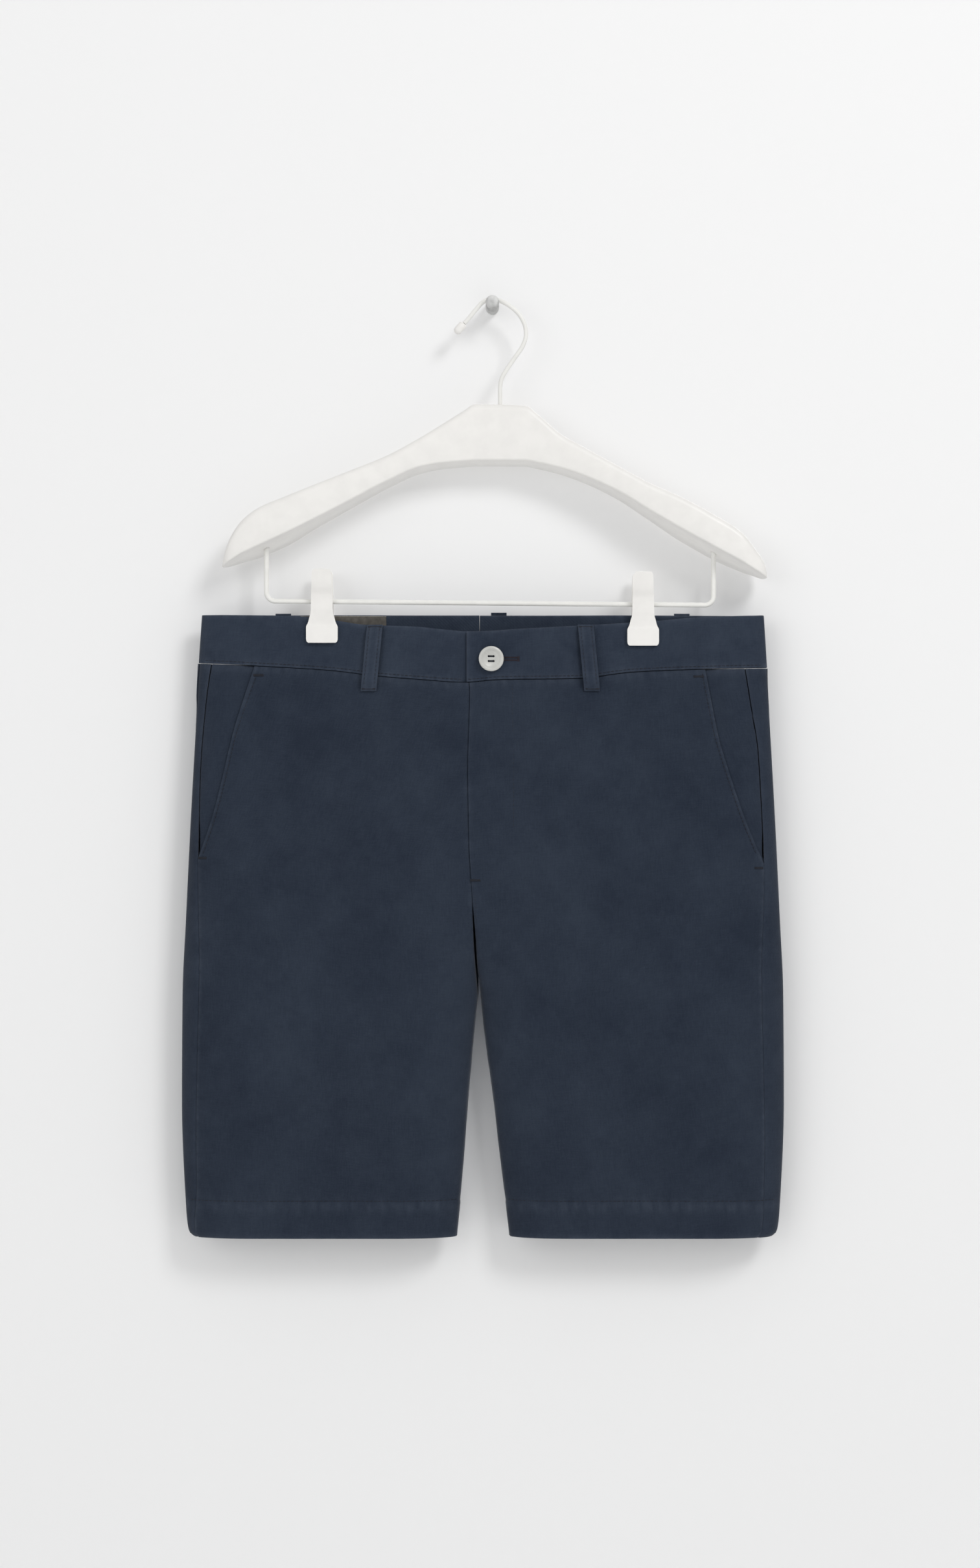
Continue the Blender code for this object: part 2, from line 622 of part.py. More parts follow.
def add_hanger(home, tools):
    """The moulded body: a loft of flat-bottomed sections with rounded upper edges."""
    shape = bmesh.new()
    rings = []
    for x, high, low, depth, fall in ARMS:
        half = depth / 2
        curve = min(ARM_ROUND, 0.45 * (high - low), 0.45 * depth)
        lower = 0.25 * curve
        outline = []
        for face, foot in ((1, low - fall), (-1, low)):
            edge = [(face * (half - lower), foot), (face * half, foot + lower),
                    (face * half, high - curve),
                    (face * (half - 0.3 * curve), high - 0.3 * curve),
                    (face * (half - curve), high)]
            outline += edge if face > 0 else edge[::-1]
        rings.append([shape.verts.new(to_world((x, y, z))) for y, z in outline])
    for ring, after in zip(rings, rings[1:]):
        for i in range(len(ring)):
            j = (i + 1) % len(ring)
            shape.faces.new((ring[i], ring[j], after[j], after[i]))
    shape.faces.new(rings[0][::-1])
    shape.faces.new(rings[-1])
    bmesh.ops.recalc_face_normals(shape, faces=shape.faces)
    mesh = bpy.data.meshes.new("hanger_body")
    shape.to_mesh(mesh)
    shape.free()
    body = add_object("hanger_body", mesh, "white_plastic", home)
    hook_x, hook_end = HOOK_ROUTE[0]
    cut(body, rod_cutter("hook_hole", HOOK_RADIUS + GAP, (hook_x, 0, hook_end - GAP),
                         (hook_x, 0, 180), tools))
    for name, (x, level, end) in (("bar_hole_right", BAR_RIGHT), ("bar_hole_left", BAR_LEFT)):
        cut(body, rod_cutter(name, BAR_RADIUS + GAP, (x, 0, 30), (x, 0, end + GAP), tools))


def add_hook(home):
    route = smooth_route([(x, 0, height) for x, height in HOOK_ROUTE])
    wire("hook", route, HOOK_RADIUS, "coated_wire", home)
    end, before = np.array(route[-1]), np.array(route[-2])
    way = (end - before) / np.linalg.norm(end - before)
    low = TIP_LENGTH
    profile = [(0, low)]
    for step in range(1, 6):
        angle = math.radians(18 * step)
        profile.append((TIP_RADIUS * math.sin(angle), low - TIP_RADIUS * (1 - math.cos(angle))))
    profile += [(TIP_RADIUS, 1.6), (0.8 * TIP_RADIUS, 0.4), (0.6 * TIP_RADIUS, 0), (0, 0)]
    tip = turned("hook_tip", profile, "white_plastic", home, 16)
    tip.rotation_euler = (0, math.atan2(way[0], way[2]), 0)
    tip.location = to_world(end + way * GAP)


def bar_height(x):
    """Height of the bar's level stretch, which tilts a little."""
    return float(np.interp(x, (BAR_RIGHT[0], BAR_LEFT[0]), (BAR_RIGHT[1], BAR_LEFT[1])))


def add_bar(home):
    """The clip bar: a wire bent up at both ends into the hanger's underside."""
    route = [(BAR_RIGHT[0], 0, BAR_RIGHT[2])]
    for side, (x, level, end) in ((1, BAR_RIGHT), (-1, BAR_LEFT)):
        bend = []
        for step in range(5):
            angle = math.radians(22.5 * step)
            bend.append((x + side * BAR_BEND * (1 - math.cos(angle)), 0,
                         level + BAR_BEND * (1 - math.sin(angle))))
        route += bend if side > 0 else bend[::-1]
    route.append((BAR_LEFT[0], 0, BAR_LEFT[2]))
    wire("clip_bar", route, BAR_RADIUS, "coated_wire", home)


def add_clips(home):
    """Each clip has a front and a back lever with its jaw, and a barrel round the bar."""
    for side, word in ((-1, "right"), (1, "left")):
        centre = side * CLIP_X
        middle = bar_height(centre)
        for face, sign in (("front", -1), ("back", 1)):
            grid = []
            for up, half, off in JAW:
                off += JAW_BACK_MORE if sign > 0 and up < -9 else 0
                row = [(centre + half * share, sign * off, middle + up)
                       for share in (-1, -0.86, 0, 0.86, 1)]
                grid.append(row if sign < 0 else row[::-1])
            jaw = add_grid(f"clip_{word}_{face}", grid, -JAW_WALL, "white_plastic", home)
            bevel = jaw.modifiers.new("Edge", "BEVEL")
            bevel.width = 0.7 * MM
            bevel.segments = 2
            bevel.limit_method = "ANGLE"
            bevel.angle_limit = math.radians(40)
        half = PIVOT_LENGTH / 2
        hole = BAR_RADIUS + GAP
        ring = ((PIVOT_RADIUS, half), (PIVOT_RADIUS, -half), (hole, -half), (hole, half),
                (PIVOT_RADIUS, half))
        barrel = turned(f"clip_{word}_barrel", ring, "white_plastic", home, 20)
        barrel.rotation_euler = (0, 0.5 * math.pi, 0)
        barrel.location = to_world((centre, 0, middle))


def add_peg(home):
    """A turned peg: a post, a groove that holds the hook, and a domed head."""
    profile = [(0, 0)] + [(radius, -distance) for distance, radius in PEG]
    peg = turned("wall_peg", profile, "peg_stone", home, 24)
    peg.rotation_euler = (-0.5 * math.pi, 0, 0)


def main():
    for obj in list(bpy.data.objects):
        bpy.data.objects.remove(obj, do_unlink=True)
    home = bpy.data.collections.new("bermuda_shorts_on_clip_hanger")
    tools = bpy.data.collections.new("cutters")
    bpy.context.scene.collection.children.link(home)
    bpy.context.scene.collection.children.link(tools)
    add_legs(home)
    add_hems(home)
    add_pockets(home)
    add_fly_shield(home)
    add_waistbands(home, tools)
    add_loops(home)
    add_label(home)
    add_button(home, tools)
    add_hanger(home, tools)
    add_hook(home)
    add_bar(home)
    add_clips(home)
    add_peg(home)


main()
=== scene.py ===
import math

import bmesh
import bpy
import numpy as np
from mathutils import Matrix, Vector


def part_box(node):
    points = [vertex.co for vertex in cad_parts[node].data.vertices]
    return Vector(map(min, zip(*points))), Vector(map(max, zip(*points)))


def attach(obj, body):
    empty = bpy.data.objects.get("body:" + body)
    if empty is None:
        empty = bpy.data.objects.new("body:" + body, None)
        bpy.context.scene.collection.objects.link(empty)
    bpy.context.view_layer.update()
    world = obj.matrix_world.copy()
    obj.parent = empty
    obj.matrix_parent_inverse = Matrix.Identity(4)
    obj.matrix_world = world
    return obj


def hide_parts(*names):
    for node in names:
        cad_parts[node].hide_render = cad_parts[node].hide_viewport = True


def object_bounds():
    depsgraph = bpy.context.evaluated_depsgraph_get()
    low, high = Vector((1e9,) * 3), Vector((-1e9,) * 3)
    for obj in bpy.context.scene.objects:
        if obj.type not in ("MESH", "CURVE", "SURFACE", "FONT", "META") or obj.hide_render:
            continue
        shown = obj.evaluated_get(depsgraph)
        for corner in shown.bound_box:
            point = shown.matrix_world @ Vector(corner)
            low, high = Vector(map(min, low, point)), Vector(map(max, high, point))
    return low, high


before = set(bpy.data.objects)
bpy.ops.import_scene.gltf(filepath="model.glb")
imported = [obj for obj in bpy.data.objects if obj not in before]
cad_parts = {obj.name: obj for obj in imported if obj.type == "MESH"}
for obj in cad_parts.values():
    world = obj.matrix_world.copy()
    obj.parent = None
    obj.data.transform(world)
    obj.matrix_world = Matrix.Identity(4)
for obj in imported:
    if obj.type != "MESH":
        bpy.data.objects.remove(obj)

cadLow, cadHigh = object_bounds()
mm = 0.001
print("frame loaded:", len(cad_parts), "nodes")

# The datum is the middle of the waist's top edge in the hanging plane. Tables are in millimetres from it.
pegLow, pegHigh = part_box("wall_peg")
datum = np.array([(pegLow[0] + pegHigh[0]) / 2 / mm - 7.8, -22.0, (pegLow[2] + pegHigh[2]) / 2 / mm - 247.0])

shorts = {
    "panelWall": 1.2,
    "bandWall": 2.0,
    "bandProud": 0.5,
    "gap": 0.3,
    "crotch": 300.5,
    "neckRise": 80.0,
    "hemBottom": 490.5,
    "hemDepth": 29.5,
    "innerRoll": 48.0,
    "clipX": 126.8,
    "clipReach": 14.0,
    "clipBottom": 24.0,
    "centre": 0.3,
    "backEdge": -2.4,
}

# drop, half width
outline = ((0, 221.8), (35, 224.0), (76, 226.4), (158, 231.0), (240, 235.0),
           (300, 237.7), (384, 238.2), (466, 235.0), (482, 233.6), (488, 232.0), (491, 228.5))
# drop, depth in front, depth behind, width of the rolled side
depths = ((0, 10.5, 8.5, 26), (45, 12.5, 9.5, 34), (100, 16.0, 12.0, 46),
          (200, 19.0, 14.0, 56), (300, 19.5, 14.5, 58), (493, 17.5, 14.0, 50))
# drop, X of the fly's edge and of the seam below it
frontEdge = ((0, -13.0), (16, -13.0), (53, -10.0), (120, -11.5), (180, -10.6),
             (209, -9.0), (248, -6.6), (273, -5.1), (300.5, -2.4))
# drop, inner edge of the right leg, of the left leg
innerEdges = ((300.5, -2.4, -2.4), (322.6, -4.9, -0.3), (343, -6.9, 2.3),
              (384, -10.5, 7.9), (425, -13.6, 12.6), (466, -17.2, 17.7), (493, -19.7, 20.9))
# X, drop
frontTop = ((-224, 0.0), (-156, 0.2), (-115, 4.3), (-94, 7.4), (-52, 9.4), (-33, 11.4),
            (-13, 12.9), (6, 12.5), (26, 11.1), (57, 9.3), (87, 7.5), (111, 5.9),
            (140, 4.0), (171, 1.4), (224, 0.0))
backTop = ((-224, 0.0), (0, -0.6), (224, 0.0))
frontSeam = ((-224, 38.0), (-182, 39.9), (-121, 43.5), (-82, 48.2), (-52, 50.8),
             (-13, 53.3), (12, 51.4), (74, 50.2), (118, 45.0), (154, 43.3), (224, 41.8))
backSeam = ((-224, 38.0), (0, 42.0), (224, 41.8))
# drop, how far the side seam lies inside the right edge, inside the left edge
sideSeam = ((40, 10.9, 18.3), (72, 7.5, 14.9), (111, 6.0, 11.0), (170, 7.4, 11.0),
            (220, 10.0, 13.0), (292, 14.3, 18.5), (350, 13.5, 17.8), (448, 10.7, 15.0),
            (493, 5.0, 13.4))
# drop, X of the pocket mouth from the centre outward on the right, on the left
pocketMouth = ((40, 178.6, 174.6), (70, 189.0, 180.1), (95, 197.0, 184.9), (125, 204.0, 193.8),
               (155, 211.6, 203.8), (180, 219.9, 213.9), (194, 225.2, 220.3))
# Soft troughs and, with a negative depth, ridges: X and drop at both ends, half width, depth
frontCreases = ((-132, 40, -150, 330, 30, 1.7), (133, 44, 158, 300, 28, 1.5),
                (-64, 236, -8, 306, 18, 1.6), (58, 242, 4, 308, 18, 1.5),
                (-98, 330, -118, 505, 26, 1.8), (112, 322, 130, 505, 26, 1.7),
                (-176, 60, -96, 210, 16, 0.7), (-150, 70, -60, 240, 13, -0.6),
                (60, 60, 170, 250, 15, 0.6), (92, 80, 196, 236, 12, -0.5),
                (-40, 330, -120, 452, 14, 0.7), (-205, 300, -150, 470, 16, -0.6),
                (40, 340, 196, 420, 15, 0.6), (30, 392, 150, 470, 12, -0.5),
                (226, 60, 199, 102, 3.2, -1.1), (223, 70, 201, 112, 3.4, 1.0))
backCreases = ((-120, 50, -96, 360, 30, 1.8), (118, 46, 84, 340, 28, 1.6),
               (-60, 250, -8, 312, 18, 1.6), (62, 244, 4, 312, 20, 1.5),
               (-140, 340, -128, 505, 26, 1.7), (136, 350, 120, 505, 24, 1.6),
               (-40, 90, -110, 230, 15, 0.8), (36, 84, 124, 240, 14, -0.7),
               (-30, 320, -130, 380, 12, -0.7), (20, 330, 140, 420, 14, 0.8))


def readTable(rows, at, column=1):
    # a smooth curve through the rows that never overshoots them
    table = np.array(rows, float)
    xs, ys = table[:, 0], table[:, column]
    step = np.diff(xs)
    slope = np.diff(ys) / step
    lean = np.zeros_like(xs)
    same = slope[:-1] * slope[1:] > 0
    before = 2 * step[1:] + step[:-1]
    after = step[1:] + 2 * step[:-1]
    with np.errstate(divide="ignore", invalid="ignore"):
        mean = (before + after) / (before / slope[:-1] + after / slope[1:])
    lean[1:-1] = np.where(same, mean, 0)
    lean[0], lean[-1] = slope[0], slope[-1]
    at = np.clip(at, xs[0], xs[-1])
    cell = np.clip(np.searchsorted(xs, at, side="right") - 1, 0, len(step) - 1)
    t = (at - xs[cell]) / step[cell]
    return ((2 * t ** 3 - 3 * t ** 2 + 1) * ys[cell] + (t ** 3 - 2 * t ** 2 + t) * step[cell] * lean[cell]
            + (3 * t ** 2 - 2 * t ** 3) * ys[cell + 1] + (t ** 3 - t ** 2) * step[cell] * lean[cell + 1])


def ease(share):
    share = np.clip(share, 0, 1)
    return share * share * (3 - 2 * share)


def bell(distance):
    return np.exp(-distance ** 2)


def ripple(at, size, seed):
    # an uneven wave of about this size, from -1 to 1
    turns = 2 * math.pi * at / size
    return (0.5 * np.sin(turns + seed) + 0.3 * np.sin(1.83 * turns + 2.1 * seed + 1)
            + 0.2 * np.sin(3.17 * turns + 3.7 * seed + 2))


def ripple2(x, drop, size, seed):
    return 0.5 * (ripple(x + 0.6 * drop, size, seed) * ripple(drop - 0.35 * x, 1.3 * size, seed + 4)
                  + ripple(0.8 * drop + 0.5 * x, 0.8 * size, seed + 9))


def outerX(side, drop):
    return shorts["centre"] + side * readTable(outline, drop)


def innerX(side, drop, front):
    legs = readTable(innerEdges, drop, 1 if side < 0 else 2)
    body = readTable(frontEdge, drop) if front else shorts["backEdge"]
    return np.where(drop > shorts["crotch"], legs, body) + side * 0.5 * shorts["gap"]


def seamX(side, drop):
    return outerX(side, drop) - side * readTable(sideSeam, drop, 1 if side < 0 else 2)


def mouthX(side, drop):
    mouth = shorts["centre"] + side * readTable(pocketMouth, drop, 1 if side < 0 else 2)
    seam = seamX(side, drop)
    past = (drop > pocketMouth[-1][0]) | (np.abs(mouth) > np.abs(seam))
    return np.where(past, seam, mouth)


def pinch(x, drop):
    beside = np.abs(x) - shorts["clipX"]
    spread = np.where(beside > 0, 70.0, 45.0)
    across = np.clip(np.abs(beside) - shorts["clipReach"], 0, None) / spread
    below = np.clip(drop - shorts["clipBottom"], 0, None) / 75.0
    return np.exp(-across ** 2 - below ** 2)


def creaseDepth(rows, x, drop):
    total = np.zeros(np.broadcast(x, drop).shape)
    for xTop, top, xBottom, bottom, half, depth in rows:
        along = np.clip((drop - top) / (bottom - top), 0, 1)
        off = (x - xTop - (xBottom - xTop) * along) / half
        total = total + depth * np.sin(math.pi * along) ** 2 * bell(off)
    return total


def standOff(side, x, drop, front):
    # how far the cloth's outer face is from the hanging plane
    full = readTable(depths, drop, 1 if front else 2)
    pressed = 1.6 if front else 2.4
    depth = pressed + (full - pressed) * (1 - pinch(x, drop))
    depth = depth - creaseDepth(frontCreases if front else backCreases, x, drop)
    fromIn = np.clip(np.abs(x - innerX(side, drop, front)) / shorts["innerRoll"], 0, 1)
    fromOut = np.clip(np.abs(outerX(side, drop) - x) / readTable(depths, drop, 3), 0, 1)
    rise = np.sin(0.5 * math.pi * np.clip((shorts["crotch"] - drop) / shorts["neckRise"], 0, 1))
    inShare = rise + (1 - rise) * np.sqrt(1 - (1 - fromIn) ** 2)
    outShare = np.sqrt(1 - (1 - fromOut) ** 2)
    return (0.75 + depth * inShare) * outShare


def seamDrop(x, front):
    return readTable(frontSeam if front else backSeam, x)


def fitToWaist(x, drop, front):
    # bends the upper rows so that the one at 45 lies on the waist seam
    seam = seamDrop(x, front) + shorts["gap"]
    return np.where(drop < 100, seam + (drop - 45) * (100 - seam) / 55, drop)


def detail(x, drop, front):
    # the small relief of worn, washed twill: soft waves, and puckers beside the seams
    seed = 1.0 if front else 5.0
    lift = 0.28 * ripple2(x, drop, 74, seed) + 0.10 * ripple2(x, drop, 27, seed + 3)
    fromWaist = drop - seamDrop(x, front)
    lift = lift + 0.34 * ripple(x, 17, seed + 1) * bell(fromWaist / 9)
    lift = lift - 0.5 * bell(fromWaist / 1.4)
    fromHem = drop - (shorts["hemBottom"] - shorts["hemDepth"])
    lift = lift + 0.22 * ripple(x, 13, seed + 2) * bell(fromHem / 7)
    lift = lift - 0.30 * bell(fromHem / 1.2) + 0.25 * ease((fromHem - 1) / 3)
    return lift


def wornNear(x, drop, front):
    # where rubbing has paled the dye: along the waist seam and the hem's stitching
    seed = 2.0 if front else 6.0
    fromWaist = drop - seamDrop(x, front)
    fromHem = drop - (shorts["hemBottom"] - shorts["hemDepth"])
    worn = 0.55 * bell(fromWaist / 5) * (0.6 + 0.5 * ripple(x, 9, seed))
    worn = worn + 0.45 * bell((fromHem - 4) / 5) * (0.6 + 0.6 * ripple(x, 11, seed + 1))
    worn = worn + 0.5 * bell((drop - shorts["hemBottom"]) / 2.5)
    return np.clip(worn, 0, 1)


def movedOut(grid, distance):
    normals = np.cross(np.gradient(grid, axis=0), np.gradient(grid, axis=1))
    normals = normals / np.maximum(np.linalg.norm(normals, axis=2, keepdims=True), 1e-9)
    return grid + normals * (np.ones(grid.shape[:2]) * distance)[..., None]


def facePoints(side, x, drop, front):
    off = standOff(side, x, drop, front)
    return np.stack([x, -off if front else off, -drop], axis=-1)


def placeOf(x, y, z):
    return ((x + datum[0]) * mm, (y + datum[1]) * mm, (z + datum[2]) * mm)


def turnedOut(grid, side):
    return grid[:, ::-1] if side < 0 else grid


def editMode():
    bpy.ops.object.mode_set(mode="EDIT")


def objectMode():
    bpy.ops.object.mode_set(mode="OBJECT")


def clearSelection():
    if bpy.context.object and bpy.context.object.mode != "OBJECT":
        objectMode()
    bpy.ops.object.select_all(action="DESELECT")


def pick(piece):
    clearSelection()
    piece.select_set(True)
    bpy.context.view_layer.objects.active = piece


def applyModifiers(piece):
    pick(piece)
    for modifier in list(piece.modifiers):
        bpy.ops.object.modifier_apply(modifier=modifier.name)


def applyPlace(piece):
    pick(piece)
    bpy.ops.object.transform_apply(location=True, rotation=True, scale=True)


def addBevel(piece, width, segments=2, angle=40):
    bevel = piece.modifiers.new("edge", "BEVEL")
    bevel.width = width * mm
    bevel.segments = segments
    bevel.limit_method = "ANGLE"
    bevel.angle_limit = math.radians(angle)


def addCylinder(vertices, radius, depth, place=(0, 0, 0), turn=0.0):
    clearSelection()
    bpy.ops.mesh.primitive_cylinder_add(vertices=vertices, radius=radius * mm, depth=depth * mm,
                                        location=place, rotation=(0, turn, 0))
    return bpy.context.object


def faceOutwards(mesh, fillEnds=False):
    work = bmesh.new()
    work.from_mesh(mesh)
    if fillEnds:
        bmesh.ops.holes_fill(work, edges=[edge for edge in work.edges if edge.is_boundary])
    bmesh.ops.recalc_face_normals(work, faces=work.faces)
    work.to_mesh(mesh)
    work.free()


def cutOut(piece, tools):
    for tool in tools:
        cut = piece.modifiers.new("cut", "BOOLEAN")
        cut.operation = "DIFFERENCE"
        cut.object = tool


def discard(tools):
    for tool in tools:
        bpy.data.objects.remove(tool, do_unlink=True)


def smoothByAngle(piece, angle=40):
    pick(piece)
    bpy.ops.object.shade_smooth_by_angle(angle=math.radians(angle))


def gridMesh(name, grid, worn=None, closed=False):
    rows, columns = grid.shape[:2]
    points = ((grid + datum) * mm).reshape(-1, 3)
    index = np.arange(rows * columns).reshape(rows, columns)
    right = np.roll(index, -1, axis=1) if closed else index[:, 1:]
    left = index if closed else index[:, :-1]
    faces = np.stack([left[:-1], left[1:], right[1:], right[:-1]], axis=-1).reshape(-1, 4)
    mesh = bpy.data.meshes.new(name)
    mesh.from_pydata(points.tolist(), [], faces.tolist())
    # the cloth's own measure, in metres along its columns and rows
    across = np.linalg.norm(np.diff(grid, axis=1, prepend=grid[:, :1]), axis=2).cumsum(axis=1)
    down = np.linalg.norm(np.diff(grid, axis=0, prepend=grid[:1]), axis=2).cumsum(axis=0)
    measure = np.stack([across, down], axis=-1).reshape(-1, 2) * mm
    loops = np.empty(len(mesh.loops), int)
    mesh.loops.foreach_get("vertex_index", loops)
    layer = mesh.uv_layers.new(name="cloth")
    layer.data.foreach_set("uv", measure[loops].reshape(-1))
    if worn is not None:
        mark = mesh.attributes.new("worn", "FLOAT", "POINT")
        mark.data.foreach_set("value", np.asarray(worn, np.float32).reshape(-1))
    piece = bpy.data.objects.new(name, mesh)
    bpy.context.scene.collection.objects.link(piece)
    return piece


def makeSheet(name, grid, wall, worn, material, edge=0.35):
    # a cloth sheet: its outer face is the grid, and the wall goes inwards
    piece = gridMesh(name, grid, worn)
    piece.data.materials.append(material)
    solid = piece.modifiers.new("wall", "SOLIDIFY")
    solid.thickness = wall * mm
    solid.offset = -1
    solid.use_quality_normals = True
    if edge:
        addBevel(piece, edge, 2, 60)
    applyModifiers(piece)
    smoothByAngle(piece, 50)
    return piece



def setInputs(node, values):
    for name, value in values.items():
        node.inputs[name].default_value = value


def newMaterial(name, color, roughness):
    material = bpy.data.materials.new(name)
    material.use_nodes = True
    shader = material.node_tree.nodes["Principled BSDF"]
    setInputs(shader, {"Base Color": (*color, 1), "Roughness": roughness})
    return material, material.node_tree, shader


def mixColor(tree, mode, share, first, second):
    # inputs 6 and 7 of the Mix node are its colours, and output 2 is the result
    node = tree.nodes.new("ShaderNodeMix")
    node.data_type = "RGBA"
    node.blend_type = mode
    for socket, value in ((node.inputs[0], share), (node.inputs[6], first), (node.inputs[7], second)):
        if isinstance(value, bpy.types.NodeSocket):
            tree.links.new(value, socket)
        else:
            socket.default_value = value
    return node.outputs[2]


def stretched(tree, value, low, high, toLow, toHigh):
    node = tree.nodes.new("ShaderNodeMapRange")
    tree.links.new(value, node.inputs[0])
    for i, number in enumerate((low, high, toLow, toHigh)):
        node.inputs[i + 1].default_value = number
    return node.outputs[0]


def scaled(tree, vector, scale):
    node = tree.nodes.new("ShaderNodeMapping")
    node.inputs["Scale"].default_value = scale
    tree.links.new(vector, node.inputs["Vector"])
    return node.outputs[0]


def noise(tree, vector, scale, detailLevel=3.0, rough=0.55):
    node = tree.nodes.new("ShaderNodeTexNoise")
    setInputs(node, {"Scale": scale, "Detail": detailLevel, "Roughness": rough})
    tree.links.new(vector, node.inputs["Vector"])
    return node.outputs["Fac"]


def makeTwillGroup():
    # puts out the dye's shade, a height for the weave's relief, and the paled edges
    group = bpy.data.node_groups.new("washedTwill", "ShaderNodeTree")
    for name, way, kind in (("Vector", "INPUT", "Vector"), ("Measure", "INPUT", "Vector"),
                            ("Worn", "INPUT", "Float"), ("Shade", "OUTPUT", "Float"),
                            ("Height", "OUTPUT", "Float"), ("Pale", "OUTPUT", "Float")):
        group.interface.new_socket(name, in_out=way, socket_type=f"NodeSocket{kind}")
    into = group.nodes.new("NodeGroupInput")
    out = group.nodes.new("NodeGroupOutput")
    place = into.outputs["Vector"]
    measure = into.outputs["Measure"]

    cloudy = noise(group, scaled(group, place, (1, 1, 0.8)), 17, 3, 0.6)
    patchy = noise(group, place, 60, 3, 0.6)
    streaks = noise(group, scaled(group, measure, (1, 0.12, 1)), 900, 2, 0.6)
    slubs = noise(group, scaled(group, measure, (0.10, 1, 1)), 1000, 2, 0.6)
    specks = noise(group, measure, 950, 2, 0.7)

    def summed(parts):
        total = None
        for value, weight in parts:
            node = group.nodes.new("ShaderNodeMath")
            node.operation = "MULTIPLY_ADD"
            group.links.new(value, node.inputs[0])
            node.inputs[1].default_value = weight
            if total is None:
                node.inputs[2].default_value = 0.0
            else:
                group.links.new(total, node.inputs[2])
            total = node.outputs[0]
        return total

    shade = summed(((cloudy, 0.34), (patchy, 0.16), (streaks, 0.18), (slubs, 0.14), (specks, 0.18)))
    group.links.new(shade, out.inputs["Shade"])

    wale = group.nodes.new("ShaderNodeTexWave")  # the twill's diagonal ribs
    wale.wave_type = "BANDS"
    wale.bands_direction = "DIAGONAL"
    setInputs(wale, {"Scale": 230, "Distortion": 1.2, "Detail": 1.0, "Detail Scale": 2.0})
    group.links.new(measure, wale.inputs["Vector"])
    height = summed(((wale.outputs["Fac"], 0.35), (specks, 0.4), (streaks, 0.15), (slubs, 0.15)))
    group.links.new(height, out.inputs["Height"])

    rub = group.nodes.new("ShaderNodeMath")
    rub.operation = "MULTIPLY"
    group.links.new(into.outputs["Worn"], rub.inputs[0])
    group.links.new(stretched(group, patchy, 0.35, 0.7, 0.45, 1.2), rub.inputs[1])
    group.links.new(rub.outputs[0], out.inputs["Pale"])
    return group


twillGroup = makeTwillGroup()

clothLook = {
    "deep": (0.0145, 0.0215, 0.0370),
    "light": (0.0265, 0.0365, 0.0560),
    "pale": (0.075, 0.092, 0.125),
    "roughness": 0.93,
}


def addBump(tree, shader, height, strength, distance):
    bump = tree.nodes.new("ShaderNodeBump")
    setInputs(bump, {"Strength": strength, "Distance": distance})
    tree.links.new(height, bump.inputs["Height"])
    tree.links.new(bump.outputs["Normal"], shader.inputs["Normal"])


def makeTwill(name, brightness=1.0):
    material, tree, shader = newMaterial(name, clothLook["deep"], clothLook["roughness"])
    links = tree.links
    place = tree.nodes.new("ShaderNodeTexCoord")
    measure = tree.nodes.new("ShaderNodeUVMap")
    measure.uv_map = "cloth"
    worn = tree.nodes.new("ShaderNodeAttribute")
    worn.attribute_name = "worn"
    twill = tree.nodes.new("ShaderNodeGroup")
    twill.node_tree = twillGroup
    links.new(place.outputs["Object"], twill.inputs["Vector"])
    links.new(measure.outputs["UV"], twill.inputs["Measure"])
    links.new(worn.outputs["Fac"], twill.inputs["Worn"])
    deep, light, pale = (tuple(brightness * c for c in clothLook[key]) + (1,)
                         for key in ("deep", "light", "pale"))
    dye = mixColor(tree, "MIX", stretched(tree, twill.outputs["Shade"], 0.40, 0.60, 0, 1), deep, light)
    rubbed = mixColor(tree, "MIX", stretched(tree, twill.outputs["Pale"], 0, 1, 0, 0.55), dye, pale)
    links.new(rubbed, shader.inputs["Base Color"])
    setInputs(shader, {"Sheen Weight": 0.10, "Sheen Roughness": 0.5, "Specular IOR Level": 0.18})
    addBump(tree, shader, twill.outputs["Height"], 0.55, 0.00025)
    return material


def makePlain(name, color, roughness, grain, grainScale, bumpDepth, coat=0.0):
    # moulded plastic, paint, pearl or stone: a colour with a fine uneven grain
    material, tree, shader = newMaterial(name, color, roughness)
    place = tree.nodes.new("ShaderNodeTexCoord")
    fine = noise(tree, place.outputs["Object"], grainScale, 4, 0.6)
    broad = noise(tree, place.outputs["Object"], grainScale * 0.12, 3, 0.5)
    dark = tuple(c * (1 - grain) for c in color) + (1,)
    lightened = tuple(min(c * (1 + 0.3 * grain), 1) for c in color) + (1,)
    tint = mixColor(tree, "MIX", stretched(tree, broad, 0.35, 0.65, 0, 1), dark, lightened)
    tree.links.new(tint, shader.inputs["Base Color"])
    gloss = stretched(tree, fine, 0.3, 0.7, roughness * 0.85, roughness * 1.15)
    tree.links.new(gloss, shader.inputs["Roughness"])
    setInputs(shader, {"Coat Weight": coat, "Coat Roughness": 0.25})
    addBump(tree, shader, fine, 0.5, bumpDepth)
    return material


